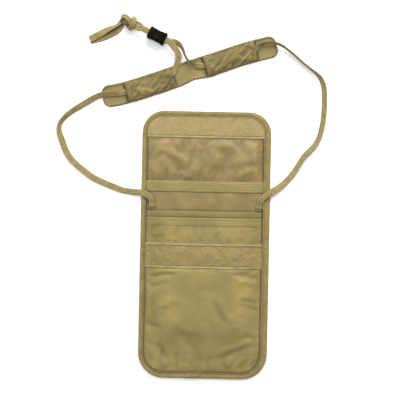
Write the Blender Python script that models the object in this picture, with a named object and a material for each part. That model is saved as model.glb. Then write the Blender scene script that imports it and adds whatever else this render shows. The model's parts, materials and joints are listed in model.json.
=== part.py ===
"""Neck pouch wallet, opened flat: pouch, flap, neck cord with its knot and cord lock, and neck pad.

Sizes are in millimetres and MM turns them into metres. The pouch lies on z = 0 with its front up:
X runs across it, Y from its bottom seam to the tip of its open flap, and the origin is the middle
of the pouch. Pieces that touch in life are kept GAP apart.
"""
import math

import bmesh
import bpy
from mathutils import Matrix, Vector

MM = 0.001
GAP = 0.3

# Pouch, as it lies open.
POUCH_WIDTH = 135.0
POUCH_LENGTH = 280.0
HALF_WIDTH = POUCH_WIDTH / 2
BOTTOM_Y = -POUCH_LENGTH / 2
TOP_Y = POUCH_LENGTH / 2
BOTTOM_RADIUS = 27.0
TOP_RADIUS = 23.0
FOLD_Y = 58.0
FLAP_START = FOLD_Y + 8.0
BODY_END = FLAP_START - GAP

# Cloth and tapes.
TAPE_EDGE = 0.4
BINDING_REACH = 6.5
BODY_BINDING_HEIGHT = 3.2
FLAP_BINDING_HEIGHT = 2.1
PANEL_INSET = TAPE_EDGE + GAP
CLOTH = 0.2
BACK_Z = TAPE_EDGE + GAP
LINING_Z = BACK_Z + CLOTH + GAP
POCKET_Z = LINING_Z + CLOTH + GAP
FRONT_Z = POCKET_Z + CLOTH + GAP
FRONT_CLOTH = 0.3

# Pockets: each stands open by more than a passport's thickness across a flat crown.
POCKET_MOUTH_Y = 35.0
FRONT_MOUTH_Y = 28.0
POCKET_RISE = 4.8
FRONT_RISE = 8.8
CROWN_FOOT = 8.0
CROWN_SIDE_RAMP = 25.0
CROWN_END_RAMP = 55.0
LINING_END = 54.0

# Hook and loop closure.
CLOSURE_TAPE = 25.0
LOOP_TOP_Y = 1.2
LOOP_HALF = 60.7
LOOP_THICKNESS = 0.5
HOOK_BOTTOM_Y = 108.0
HOOK_THICKNESS = 0.5

# Neck pad, a gently curved band, with two sleeves that the cord runs through.
PAD_LINE = [(-110.5, 152.6), (-85.4, 158.3), (-50.5, 170.0), (-14.0, 183.4), (12.0, 192.3),
            (39.2, 202.0), (71.5, 210.9)]
PAD_HALF = 11.75
PAD_END_RADIUS = 8.0
PAD_THICKNESS = 1.0
SLEEVE_HALF = 11.2
SLEEVE_HEIGHT = 5.9
SLEEVE_CLOTH = 0.6
SLEEVE_SPANS = {"left_sleeve": (25.5, 76.5), "right_sleeve": (112.5, 168.5)}
SLEEVE_PIECES = 9
PAD_PIECES = 16
PAD_END_MARKS = [0.0, 1.0, 2.5, 5.0]

# Neck cord: a flat braid.
CORD_WIDTH = 6.5
CORD_THICKNESS = 1.2
CORD_STEP = 13.0
ROUND_STEPS = 6

# Cord lock, lying on its base with the button up.
LOCK_CENTRE = Vector((-54.2, 217.5, 0.0))
LOCK_TURN = math.radians(-25.1)
LOCK_LENGTH = 19.0
LOCK_HALF_END = 6.7
LOCK_HALF_WAIST = 5.7
LOCK_HEIGHT = 11.6
LOCK_FLOOR = 1.0
LOCK_CORNER = 1.4
BORE_RADIUS = 4.8
BUTTON_RADIUS = 4.5
BUTTON_BOTTOM = 4.9
BUTTON_TOP = 12.8
BUTTON_CHAMFER = 0.5
SLOT_BOTTOM = 5.9
SLOT_WIDTH = 7.2
CHANNEL_HEIGHT = 3.3
BUTTON_SLOT_HEIGHT = 5.5
SPRING_RADIUS = 3.4
SPRING_WIRE = 0.35
SPRING_TURNS = 4
SPRING_BOTTOM = LOCK_FLOOR + GAP
SPRING_TOP = BUTTON_BOTTOM - GAP

# Knot: it starts this far along the lock's axis and is this long, wide and high.
KNOT_FACE = -22.4
KNOT_SIZE = (19.5, 15.5, 9.6)
KNOT_ROUNDING = 3.4
STRAND_END = KNOT_FACE + 3 * GAP
LOWER_STRAND_Z = SLOT_BOTTOM + GAP
UPPER_STRAND_Z = LOWER_STRAND_Z + CORD_THICKNESS + GAP

# Each point of a cord's route: x, y, the height of the tape's underside, and how far the tape is
# rolled from flat onto its edge, in degrees. Inside the lock the route is along the lock's axis,
# given there as (distance along the axis, distance across it).
LEFT_ROUTE = [
    (-56.0, 36.5, 1.75, 0), (-56.1, 42.5, 1.9, 0), (-57.3, 47.8, 3.5, 0), (-61.2, 51.2, 3.9, 0),
    (-67.0, 53.2, 4.0, 0), (-73.0, 53.9, 2.0, 0), (-80.5, 54.5, 0.1, 0), (-88.7, 56.0, 0.1, 0),
    (-102.8, 61.3, 0.1, 5), (-117.0, 67.6, 0.1, 10), (-126.5, 73.9, 0.1, 10),
    (-136.0, 81.3, 0.1, 10), (-143.8, 89.5, 0.1, 10), (-148.6, 97.9, 0.1, 10),
    (-151.6, 106.3, 0.1, 15), (-154.3, 113.7, 0.1, 30), (-155.1, 120.0, 0.1, 45),
    (-153.3, 125.9, 0.1, 50), (-148.3, 132.0, 0.1, 45), (-141.9, 137.4, 0.1, 35),
    (-134.5, 142.2, 0.2, 25), (-126.2, 147.5, 0.5, 15), (-118.4, 152.0, 1.6, 25),
    (-109.4, 155.4, 1.6, 30), (-98.5, 156.7, 1.6, 30), (-86.4, 158.4, 1.6, 10),
    (-70.0, 163.6, 1.6, 0), (-52.5, 170.3, 1.6, 0), (-43.0, 174.8, 1.6, 0),
    (-37.2, 179.4, 1.6, 5), (-34.2, 185.3, 1.6, 15), (-32.2, 191.4, 1.6, 25),
    (-31.6, 197.0, 2.6, 25), (-33.6, 202.6, 4.4, 15), (-37.8, 207.6, 6.7, 5)]
LEFT_LOCK_ROUTE = [(13.2, 0.0), (2.0, 0.0), (-9.0, 0.0), (-17.8, 0.0), (STRAND_END, -1.2)]
RIGHT_LOCK_ROUTE = [(STRAND_END, 1.2), (-17.8, 0.0), (-9.0, 0.0), (2.0, 0.0), (13.2, 0.0)]
RIGHT_ROUTE = [
    (-36.6, 211.4, 5.0, 10), (-31.6, 209.6, 3.0, 35), (-27.6, 205.0, 1.5, 65),
    (-25.0, 198.6, 1.2, 75), (-21.6, 192.6, 1.6, 75), (-16.2, 189.0, 1.6, 50),
    (-10.2, 187.4, 1.6, 12), (-3.3, 188.4, 1.6, 8), (12.0, 192.9, 1.6, 0), (27.0, 197.9, 1.6, 0),
    (41.2, 203.2, 1.6, 0), (49.2, 206.6, 1.6, 22), (55.4, 211.2, 1.7, 64), (62.0, 213.0, 1.7, 76),
    (69.4, 212.7, 1.7, 76), (76.6, 210.0, 1.6, 75), (84.0, 205.2, 0.4, 80),
    (90.4, 200.2, 0.1, 80), (97.5, 194.0, 0.1, 82), (105.7, 187.5, 0.1, 80),
    (112.5, 182.4, 0.1, 70), (118.0, 176.6, 0.1, 50), (121.4, 167.7, 0.1, 40),
    (122.3, 155.7, 0.1, 38), (122.1, 142.3, 0.1, 38), (120.7, 128.9, 0.1, 38),
    (117.9, 116.5, 0.1, 38), (113.7, 107.8, 0.1, 38), (107.7, 101.2, 0.1, 38),
    (102.3, 95.6, 0.1, 38), (98.3, 89.3, 0.1, 35), (94.3, 82.1, 0.1, 30), (89.1, 74.7, 0.1, 30),
    (82.4, 67.2, 0.2, 28), (75.4, 61.4, 2.2, 20), (68.4, 56.7, 4.0, 10), (62.2, 52.0, 3.9, 0),
    (58.0, 48.0, 3.7, 0), (56.3, 42.5, 2.0, 0), (56.0, 36.5, 1.75, 0)]

# Tail: the cord comes out of the knot, folds back on itself and goes in again beside itself.
TAIL_ANGLE = math.radians(205.0)
TAIL_START = Vector((-94.0, 226.6, 0.0))
TAIL_LENGTH = 33.0
TAIL_SPREAD = 3.6
TAIL_HALFWAY_SPREAD = 2.9
TAIL_FOLD_SPREAD = 0.7
TAIL_LOOP = 1.4

# Bar tacks that hold the cord's two ends inside the pouch.
TACK_SIZE = (7.6, 2.4, 0.4)
TACK_CENTRES = {"left_cord_tack": (-56.0, 39.4), "right_cord_tack": (56.7, 39.4)}
TACK_Z = 3.35

CLOTH_COLOUR = (0.36, 0.29, 0.12, 1.0)
LINING_COLOUR = (0.40, 0.29, 0.11, 1.0)
TAPE_COLOUR = (0.43, 0.36, 0.18, 1.0)
CORD_COLOUR = (0.38, 0.32, 0.15, 1.0)
THREAD_COLOUR = (0.30, 0.24, 0.09, 1.0)
PLASTIC_COLOUR = (0.012, 0.011, 0.009, 1.0)
STEEL_COLOUR = (0.62, 0.62, 0.60, 1.0)


def clear_scene():
    """Remove what a new Blender file starts with."""
    for obj in list(bpy.data.objects):
        bpy.data.objects.remove(obj, do_unlink=True)


def make_material(name, colour, roughness, metallic=0.0):
    """A Principled material for one sub-part."""
    material = bpy.data.materials.new(name)
    material.use_nodes = True
    shader = material.node_tree.nodes["Principled BSDF"]
    shader.inputs["Base Color"].default_value = colour
    shader.inputs["Roughness"].default_value = roughness
    shader.inputs["Metallic"].default_value = metallic
    return material


def add_object(name, bm, material, parent=None):
    """Turn a bmesh in millimetres into an object in metres, hung on its joint's empty if it has one."""
    bmesh.ops.recalc_face_normals(bm, faces=bm.faces)
    bmesh.ops.scale(bm, vec=(MM, MM, MM), verts=bm.verts)
    mesh = bpy.data.meshes.new(name)
    bm.to_mesh(mesh)
    bm.free()
    mesh.materials.append(material)
    obj = bpy.data.objects.new(name, mesh)
    bpy.context.scene.collection.objects.link(obj)
    if parent is not None:
        obj.parent = parent
        obj.matrix_parent_inverse = parent.matrix_world.inverted()
    return obj


def add_pivot(name, place, turn=0.0):
    """An empty on a joint's axis, which the moving pieces hang on."""
    pivot = bpy.data.objects.new(name, None)
    pivot.matrix_world = Matrix.Translation(Vector(place) * MM) @ Matrix.Rotation(turn, 4, "Z")
    bpy.context.scene.collection.objects.link(pivot)
    return pivot


def smooth(obj, angle=40.0):
    """Shade the round faces smooth and keep the edges sharper than the angle."""
    obj.data.shade_smooth()
    obj.data.set_sharp_from_angle(angle=math.radians(angle))


def loft(sections):
    """Join closed sections of equally many points into one capped solid."""
    bm = bmesh.new()
    rings = [[bm.verts.new(point) for point in section] for section in sections]
    for ring, following in zip(rings, rings[1:]):
        for index in range(len(ring)):
            after = (index + 1) % len(ring)
            bm.faces.new((ring[index], ring[after], following[after], following[index]))
    bm.faces.new(rings[0])
    bm.faces.new(reversed(rings[-1]))
    return bm


def catmull_rom(points, step):
    """Points about a step apart on one smooth curve through the given points."""
    points = [Vector(point) for point in points]
    ends = [2 * points[0] - points[1]] + points + [2 * points[-1] - points[-2]]
    curve = []
    for before, start, end, after in zip(ends, ends[1:], ends[2:], ends[3:]):
        count = max(1, round((end - start).to_3d().length / step))
        for index in range(count):
            t = index / count
            curve.append(0.5 * (2 * start + (end - before) * t
                                + (2 * before - 5 * start + 4 * end - after) * t ** 2
                                + (3 * start - before - 3 * end + after) * t ** 3))
    curve.append(points[-1])
    return curve


# ---------------------------------------------------------------- pouch and flap

def corner_rows(half_width, edge_y, radius, inward):
    """Rows (y, half width) round the two corners at one end, from the end edge inward (+1 or -1)."""
    rows = []
    for index in range(ROUND_STEPS + 1):
        angle = math.radians(90) * index / ROUND_STEPS
        y = edge_y + inward * radius * (1 - math.cos(angle))
        rows.append((y, half_width - radius * (1 - math.sin(angle))))
    return rows


def crown(x, y, rise):
    """Height of a pocket's crown: level in the middle, sloping down to the side and bottom seams."""
    side = (HALF_WIDTH - abs(x) - CROWN_FOOT) / CROWN_SIDE_RAMP
    end = (y - BOTTOM_Y - CROWN_FOOT) / CROWN_END_RAMP
    return rise * min(1.0, max(0.0, side)) * min(1.0, max(0.0, end))


def panel_columns(half, rise):
    """Where a row of a panel has its corners: its ends, and the foot and the top of each ramp."""
    if rise == 0.0:
        return [-half, half]
    foot = min(HALF_WIDTH - CROWN_FOOT, half - GAP)
    top = HALF_WIDTH - CROWN_FOOT - CROWN_SIDE_RAMP
    return [-half, -foot, -top, top, foot, half]


def panel(rows, underside, thickness, rise=0.0):
    """A cloth panel from rows (y, half width), with an even thickness and a crown.

    Each cell is two triangles that meet in a ridge, the same way on both faces, so stacked panels
    never cross.
    """
    bm = bmesh.new()
    faces = []
    for lift in (0.0, thickness):
        grid = [[bm.verts.new((x, y, underside + lift + crown(x, y, rise)))
                 for x in panel_columns(half, rise)] for y, half in rows]
        faces.append(grid)
        for row, following in zip(grid, grid[1:]):
            for near, far, near_next, far_next in zip(row, row[1:], following, following[1:]):
                if near.co.x + far.co.x > 0:
                    bm.faces.new((near, far, near_next))
                    bm.faces.new((far, far_next, near_next))
                else:
                    bm.faces.new((near, far, far_next))
                    bm.faces.new((near, far_next, near_next))
    lower, upper = (grid[0] + [row[-1] for row in grid[1:-1]] + grid[-1][::-1]
                    + [row[0] for row in grid[-2:0:-1]] for grid in faces)
    for index in range(len(lower)):
        bm.faces.new((lower[index - 1], lower[index], upper[index], upper[index - 1]))
    return bm


def body_rows(end_y, inset=PANEL_INSET, extra=()):
    """Rows of a panel that fills the pouch from its bottom seam up to end_y."""
    rows = corner_rows(HALF_WIDTH - inset, BOTTOM_Y + inset, BOTTOM_RADIUS - inset, 1)
    return rows + [(y, HALF_WIDTH - inset) for y in (*extra, end_y)]


def flap_rows(start_y, inset=PANEL_INSET):
    """Rows of a panel that fills the flap from start_y to its tip."""
    rows = corner_rows(HALF_WIDTH - inset, TOP_Y - inset, TOP_RADIUS - inset, -1)
    return [(start_y, HALF_WIDTH - inset)] + rows[::-1]


def edge_path(start_y, end_y, radius, side):
    """The pouch's outline as (point, outward direction), from start_y round the end and back."""
    path = []
    for sign in (-1, 1):
        corner = Vector((sign * (HALF_WIDTH - radius), end_y - side * radius, 0.0))
        arc = []
        for index in range(ROUND_STEPS + 1):
            angle = math.radians(90) * index / ROUND_STEPS
            outward = Vector((sign * math.cos(angle), side * math.sin(angle), 0.0))
            arc.append((corner + radius * outward, outward))
        straight = [(Vector((sign * HALF_WIDTH, start_y, 0.0)), Vector((sign, 0.0, 0.0)))]
        path += straight + arc if sign < 0 else (straight + arc)[::-1]
    return path


def binding(path, height):
    """Bias binding folded round the edge: a channel with a lower leg, an outer wall and an upper leg."""
    profile = [(0, 0), (0, height), (-BINDING_REACH, height), (-BINDING_REACH, height - TAPE_EDGE),
               (-TAPE_EDGE, height - TAPE_EDGE), (-TAPE_EDGE, TAPE_EDGE),
               (-BINDING_REACH, TAPE_EDGE), (-BINDING_REACH, 0)]
    return loft([[point + off * outward + Vector((0, 0, z)) for off, z in profile]
                 for point, outward in path])


def slab(low, high):
    """A plain box between two corners."""
    (x0, y0, z0), (x1, y1, z1) = low, high
    return loft([[(x0, y, z0), (x1, y, z0), (x1, y, z1), (x0, y, z1)] for y in (y0, y1)])


def build_pouch():
    """The pouch's own pieces, which stay with the root."""
    cloth = make_material("shell_cloth", CLOTH_COLOUR, 0.8)
    lining = make_material("lining_cloth", LINING_COLOUR, 0.55)
    tape = make_material("binding_tape", TAPE_COLOUR, 0.85)
    loop = make_material("loop_pile", TAPE_COLOUR, 0.95)
    thread = make_material("sewing_thread", THREAD_COLOUR, 0.7)
    crown_end = BOTTOM_Y + CROWN_FOOT + CROWN_END_RAMP
    add_object("back_panel", panel(body_rows(BODY_END), BACK_Z, CLOTH), cloth)
    add_object("back_lining", panel(body_rows(LINING_END), LINING_Z, CLOTH), lining)
    side = HALF_WIDTH - PANEL_INSET
    add_object("facing_band", slab((-side, LINING_END + GAP, LINING_Z),
                                   (side, BODY_END, LINING_Z + CLOTH)), tape)
    add_object("middle_pocket_panel", panel(body_rows(POCKET_MOUTH_Y, extra=(crown_end,)),
                                            POCKET_Z, CLOTH, POCKET_RISE), cloth)
    add_object("front_pocket_panel", panel(body_rows(FRONT_MOUTH_Y, extra=(crown_end,)),
                                           FRONT_Z, FRONT_CLOTH, FRONT_RISE), cloth)
    loop_z = FRONT_Z + FRONT_CLOTH + GAP
    loop_rows = [(LOOP_TOP_Y - CLOSURE_TAPE, LOOP_HALF), (LOOP_TOP_Y, LOOP_HALF)]
    add_object("loop_tape", panel(loop_rows, loop_z, LOOP_THICKNESS, FRONT_RISE), loop)
    add_object("body_binding", binding(edge_path(BODY_END, BOTTOM_Y, BOTTOM_RADIUS, -1),
                                       BODY_BINDING_HEIGHT), tape)
    for name, (x, y) in TACK_CENTRES.items():
        half = Vector(TACK_SIZE) / 2
        centre = Vector((x, y, TACK_Z + half.z))
        add_object(name, slab(centre - half, centre + half), thread)


def build_flap():
    """The flap's own pieces, on the fold line raised to the middle of the closed stack."""
    cloth = make_material("flap_cloth", CLOTH_COLOUR, 0.8)
    lining = make_material("flap_lining_cloth", LINING_COLOUR, 0.5)
    hook = make_material("hook_tape_nylon", TAPE_COLOUR, 0.6)
    tape = make_material("flap_binding_tape", TAPE_COLOUR, 0.85)
    hook_z = LINING_Z + CLOTH + GAP
    loop_top = FRONT_Z + FRONT_CLOTH + GAP + FRONT_RISE + LOOP_THICKNESS
    fold_z = (loop_top + GAP + hook_z + HOOK_THICKNESS) / 2
    pivot = add_pivot("flap_fold", (0.0, FOLD_Y, fold_z))
    add_object("flap_panel", panel(flap_rows(FLAP_START), BACK_Z, CLOTH), cloth, pivot)
    add_object("flap_lining", panel(flap_rows(FLAP_START), LINING_Z, CLOTH), lining, pivot)
    inset = BINDING_REACH + GAP
    add_object("hook_tape", panel(flap_rows(HOOK_BOTTOM_Y, inset), hook_z, HOOK_THICKNESS), hook, pivot)
    add_object("flap_binding", binding(edge_path(FLAP_START, TOP_Y, TOP_RADIUS, 1),
                                       FLAP_BINDING_HEIGHT), tape, pivot)


# ---------------------------------------------------------------- neck pad

def pad_line():
    """The pad's middle line as closely spaced points."""
    return catmull_rom([(x, y, 0.0) for x, y in PAD_LINE], 1.0)


def pad_length():
    """Length of the pad's middle line."""
    line = pad_line()
    return sum((ahead - here).length for here, ahead in zip(line, line[1:]))


def pad_frame(distance):
    """The point at a distance along the pad's middle line, and the direction across the pad there."""
    line = pad_line()
    left = distance
    for here, ahead in zip(line, line[1:]):
        length = (ahead - here).length
        along = (ahead - here) / length
        if left <= length:
            break
        left -= length
    return here + along * left, Vector((-along.y, along.x, 0.0))


def pad_half_width(distance, length):
    """Half the pad's width at a distance from its left end, with its corners rounded."""
    short = max(0.0, PAD_END_RADIUS - min(distance, length - distance))
    return PAD_HALF - PAD_END_RADIUS + math.sqrt(PAD_END_RADIUS ** 2 - short ** 2)


def pad_marks(length):
    """Distances along the pad at which its base has a section, closer together at its round ends."""
    straight = length - 2 * PAD_END_RADIUS
    middle = [PAD_END_RADIUS + straight * index / PAD_PIECES for index in range(PAD_PIECES + 1)]
    return PAD_END_MARKS + middle + [length - end for end in reversed(PAD_END_MARKS)]


def build_pad():
    """The pad's base and its two sleeves, which slide along the cord together."""
    cloth = make_material("pad_cloth", CLOTH_COLOUR, 0.8)
    sleeve_cloth = make_material("sleeve_cloth", CLOTH_COLOUR, 0.75)
    pivot = add_pivot("pad_slide", (*PAD_LINE[3], 0.0))
    length = pad_length()
    up = Vector((0.0, 0.0, PAD_THICKNESS))
    sections = []
    for mark in pad_marks(length):
        middle, across = pad_frame(mark)
        across *= pad_half_width(mark, length)
        sections.append([middle - across, middle + across, middle + across + up, middle - across + up])
    add_object("pad_base", loft(sections), cloth, pivot)
    for name, (start, end) in SLEEVE_SPANS.items():
        marks = [start + (end - start) * index / SLEEVE_PIECES for index in range(SLEEVE_PIECES + 1)]
        sections = [arch_section(*pad_frame(mark)) for mark in marks]
        smooth(add_object(name, loft(sections), sleeve_cloth, pivot))


def arch_section(middle, across, steps=10):
    """The section of a sleeve: half an ellipse of cloth standing on the pad's base."""
    foot = Vector((0.0, 0.0, PAD_THICKNESS + GAP))
    angles = [math.pi * index / steps for index in range(steps + 1)]
    outer = [(SLEEVE_HALF * math.cos(angle), SLEEVE_HEIGHT * math.sin(angle)) for angle in angles]
    inner = [((SLEEVE_HALF - SLEEVE_CLOTH) * math.cos(angle), (SLEEVE_HEIGHT - SLEEVE_CLOTH) * math.sin(angle))
             for angle in reversed(angles)]
    return [middle + foot + across * offset + Vector((0.0, 0.0, z)) for offset, z in outer + inner]


# ---------------------------------------------------------------- cord

def lock_point(along, across, z):
    """A point given along and across the cord lock's axis."""
    offset = Matrix.Rotation(LOCK_TURN, 3, "Z") @ Vector((along, across, 0.0))
    return LOCK_CENTRE + offset + Vector((0.0, 0.0, z))


def ribbon(route):
    """A flat tape swept along route points (x, y, underside, roll)."""
    curve = catmull_rom([Vector(point) for point in route], CORD_STEP)
    centres = []
    for x, y, underside, roll in curve:
        roll = math.radians(roll)
        half_height = (CORD_WIDTH * abs(math.sin(roll)) + CORD_THICKNESS * abs(math.cos(roll))) / 2
        centres.append((Vector((x, y, underside + half_height)), roll))
    sections = []
    for index, (centre, roll) in enumerate(centres):
        before = centres[max(index - 1, 0)][0]
        after = centres[min(index + 1, len(centres) - 1)][0]
        along = (after - before).normalized()
        level = Vector((-along.y, along.x, 0.0)).normalized()
        wide = (level * math.cos(roll) + Vector((0.0, 0.0, math.sin(roll)))) * CORD_WIDTH / 2
        thick = along.cross(wide).normalized() * CORD_THICKNESS / 2
        sections.append([centre - wide - thick, centre + wide - thick, centre + wide + thick,
                         centre - wide + thick])
    return loft(sections)


def build_cord():
    """The two runs of the cord, the knot that ties them, and the tail beyond the knot."""
    braid = make_material("cord_braid", CORD_COLOUR, 0.85)
    left_in_lock = [(*lock_point(along, across, UPPER_STRAND_Z), 0) for along, across in LEFT_LOCK_ROUTE]
    right_in_lock = [(*lock_point(along, across, LOWER_STRAND_Z), 0) for along, across in RIGHT_LOCK_ROUTE]
    add_object("left_cord", ribbon(LEFT_ROUTE + left_in_lock), braid)
    add_object("right_cord", ribbon(right_in_lock + RIGHT_ROUTE), braid)
    build_knot(braid)
    build_tail(braid)


def build_knot(braid):
    """The outer shape of the overhand knot."""
    length, width, height = KNOT_SIZE
    bm = bmesh.new()
    bmesh.ops.create_cube(bm, size=1.0)
    bmesh.ops.scale(bm, vec=KNOT_SIZE, verts=bm.verts)
    bmesh.ops.bevel(bm, geom=bm.edges[:], offset=KNOT_ROUNDING, offset_type="OFFSET", segments=3,
                    profile=0.5, affect="EDGES")
    centre = lock_point(KNOT_FACE - length / 2, 0.0, height / 2 + GAP)
    bmesh.ops.transform(bm, matrix=Matrix.Translation(centre) @ Matrix.Rotation(LOCK_TURN, 4, "Z"),
                        verts=bm.verts)
    smooth(add_object("cord_knot", bm, braid))


def build_tail(braid):
    """The cord's middle, folded back on itself: out along one side, round a fold and back beside it."""
    along = Vector((math.cos(TAIL_ANGLE), math.sin(TAIL_ANGLE), 0.0))
    across = Vector((-along.y, along.x, 0.0))
    up = Vector((0.0, 0.0, 1.0))
    low_z = CORD_THICKNESS / 2 + GAP
    high_z = low_z + 2 * TAIL_LOOP
    halfway = TAIL_LENGTH / 2
    path = [(0.0, TAIL_SPREAD, low_z, 0.0), (halfway, TAIL_HALFWAY_SPREAD, low_z, 0.0)]
    for index in range(ROUND_STEPS + 1):
        angle = math.pi * index / ROUND_STEPS
        path.append((TAIL_LENGTH - TAIL_LOOP + TAIL_LOOP * math.sin(angle), TAIL_FOLD_SPREAD * math.cos(angle),
                     low_z + TAIL_LOOP * (1 - math.cos(angle)), angle))
    path += [(halfway, -TAIL_HALFWAY_SPREAD, high_z, math.pi), (0.0, -TAIL_SPREAD, high_z, math.pi)]
    sections = []
    for distance, side, z, turn in path:
        centre = TAIL_START + along * distance + across * side + up * z
        thick = (up * math.cos(turn) - along * math.sin(turn)) * CORD_THICKNESS / 2
        wide = across * CORD_WIDTH / 2
        sections.append([centre - wide - thick, centre + wide - thick, centre + wide + thick,
                         centre - wide + thick])
    add_object("cord_tail", loft(sections), braid)


# ---------------------------------------------------------------- cord lock

def prism(outline, bottom, top):
    """An upright prism over an outline of (along, across) points about the lock's centre."""
    return loft([[lock_point(along, across, z) for along, across in outline] for z in (bottom, top)])


def circle(radius, count=24):
    """Points round a circle."""
    turns = [2 * math.pi * index / count for index in range(count)]
    return [(radius * math.cos(turn), radius * math.sin(turn)) for turn in turns]


def lock_outline():
    """The lock seen from above: four cut corners and long sides that curve in to a waist."""
    half = LOCK_LENGTH / 2
    side = []
    for index in range(9):
        along = (half - LOCK_CORNER) * (index / 4 - 1)
        share = (along / (half - LOCK_CORNER)) ** 2
        side.append((along, LOCK_HALF_WAIST + (LOCK_HALF_END - LOCK_HALF_WAIST) * share))
    end = [(half, LOCK_HALF_END - LOCK_CORNER), (half, LOCK_CORNER - LOCK_HALF_END)]
    first_half = side + end
    return first_half + [(-along, -across) for along, across in first_half]


def cutter(name, bm, pivot):
    """A guide solid that a Boolean takes away."""
    obj = add_object(name, bm, None, pivot)
    obj.hide_render = True
    obj.display_type = "WIRE"
    return obj


def cut(obj, tool):
    """Take the tool's shape out of the object."""
    modifier = obj.modifiers.new("cut_" + tool.name, "BOOLEAN")
    modifier.operation = "DIFFERENCE"
    modifier.solver = "EXACT"
    modifier.object = tool


def build_lock():
    """The lock's body, its sprung button with a slot for the cord, and the spring."""
    black = make_material("lock_plastic", PLASTIC_COLOUR, 0.45)
    black_button = make_material("button_plastic", PLASTIC_COLOUR, 0.4)
    steel = make_material("spring_steel", STEEL_COLOUR, 0.3, 1.0)
    pivot = add_pivot("lock_slide", LOCK_CENTRE, LOCK_TURN)
    past = 1.0
    body = add_object("lock_body", prism(lock_outline(), 0.0, LOCK_HEIGHT), black, pivot)
    bore = prism(circle(BORE_RADIUS), LOCK_FLOOR, LOCK_HEIGHT + past)
    cut(body, cutter("bore_cutter", bore, pivot))
    half_slot = SLOT_WIDTH / 2
    reach = LOCK_LENGTH / 2 + past
    opening = [(-reach, -half_slot), (reach, -half_slot), (reach, half_slot), (-reach, half_slot)]
    channel = prism(opening, SLOT_BOTTOM, SLOT_BOTTOM + CHANNEL_HEIGHT)
    cut(body, cutter("channel_cutter", channel, pivot))
    profile = [(BUTTON_RADIUS, BUTTON_BOTTOM), (BUTTON_RADIUS, BUTTON_TOP - BUTTON_CHAMFER),
               (BUTTON_RADIUS - BUTTON_CHAMFER, BUTTON_TOP)]
    rings = [[lock_point(along, across, z) for along, across in circle(radius)] for radius, z in profile]
    button = add_object("lock_button", loft(rings), black_button, pivot)
    button_slot = prism(opening, SLOT_BOTTOM, SLOT_BOTTOM + BUTTON_SLOT_HEIGHT)
    cut(button, cutter("button_cutter", button_slot, pivot))
    smooth(body)
    smooth(button)
    smooth(add_object("lock_spring", spring(), steel, pivot))


def spring(points_a_turn=12, sides=6):
    """A round wire wound in a coil about the lock's upright axis."""
    sections = []
    count = SPRING_TURNS * points_a_turn
    for index in range(count + 1):
        turn = 2 * math.pi * index / points_a_turn
        share = index / count
        z = SPRING_BOTTOM + SPRING_WIRE + (SPRING_TOP - SPRING_BOTTOM - 2 * SPRING_WIRE) * share
        section = []
        for side in range(sides):
            around = 2 * math.pi * side / sides
            radius = SPRING_RADIUS + SPRING_WIRE * math.cos(around)
            section.append(lock_point(radius * math.cos(turn), radius * math.sin(turn),
                                      z + SPRING_WIRE * math.sin(around)))
        sections.append(section)
    return loft(sections)


def main():
    """Build every piece."""
    clear_scene()
    build_pouch()
    build_flap()
    build_pad()
    build_cord()
    build_lock()
    bpy.context.view_layer.update()


main()
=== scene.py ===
"""Looks of the neck pouch wallet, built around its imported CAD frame.

Sizes are in millimetres and MM turns them into metres. X runs across the pouch, Y from its bottom seam
to the tip of the open flap, and the pouch lies on z = 0 with its front up.
"""
import json
import math

import bpy
import numpy as np
from mathutils import Matrix, Vector, noise
from mathutils.bvhtree import BVHTree


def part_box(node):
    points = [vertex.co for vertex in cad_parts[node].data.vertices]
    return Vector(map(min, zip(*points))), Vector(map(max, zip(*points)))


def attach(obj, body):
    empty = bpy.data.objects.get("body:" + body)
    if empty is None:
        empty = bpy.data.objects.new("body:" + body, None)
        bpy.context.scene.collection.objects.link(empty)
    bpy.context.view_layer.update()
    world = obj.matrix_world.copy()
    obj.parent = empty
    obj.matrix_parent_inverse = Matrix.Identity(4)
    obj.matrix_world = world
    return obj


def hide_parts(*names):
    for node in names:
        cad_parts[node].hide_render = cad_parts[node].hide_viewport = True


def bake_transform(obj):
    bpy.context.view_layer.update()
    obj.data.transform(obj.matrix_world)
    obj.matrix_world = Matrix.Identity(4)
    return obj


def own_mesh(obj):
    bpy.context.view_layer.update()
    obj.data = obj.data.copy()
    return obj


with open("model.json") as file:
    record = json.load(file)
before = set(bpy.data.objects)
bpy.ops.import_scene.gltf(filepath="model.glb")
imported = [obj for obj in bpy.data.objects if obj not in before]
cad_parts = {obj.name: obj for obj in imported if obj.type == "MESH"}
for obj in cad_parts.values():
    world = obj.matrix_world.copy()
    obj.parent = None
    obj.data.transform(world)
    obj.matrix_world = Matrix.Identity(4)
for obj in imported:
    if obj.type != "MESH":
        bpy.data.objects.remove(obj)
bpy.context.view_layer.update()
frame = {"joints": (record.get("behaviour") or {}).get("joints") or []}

MM = 0.001
UP = Vector((0.0, 0.0, 1.0))
CLOTH_MAP = "cloth_mm"
# The point attribute that carries painted shade in creases and painted highlights on ridges.
PAINTED_SHADE_ATTRIBUTE = "crease"


def box_mm(node):
    """A CAD node's lowest and highest corners in millimetres."""
    low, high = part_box(node)
    return low / MM, high / MM


def joint_named(name):
    """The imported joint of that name."""
    return next(joint for joint in frame["joints"] if joint["name"] == name)


# ---------------- places read from the frame

HALF_WIDTH = box_mm("body_binding")[1].x
BOTTOM_Y = box_mm("body_binding")[0].y
TOP_Y = box_mm("flap_binding")[1].y
BOTTOM_RADIUS = 27.0
TOP_RADIUS = 23.0
BODY_HEIGHT = box_mm("body_binding")[1].z
FLAP_HEIGHT = box_mm("flap_binding")[1].z
FOLD_Y = joint_named("flap_fold")["pos_m"][1] / MM
BACK_Z = box_mm("back_panel")[0].z
LINING_Z = box_mm("back_lining")[0].z
POCKET_Z = box_mm("middle_pocket_panel")[0].z
FRONT_Z = box_mm("front_pocket_panel")[0].z
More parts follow.
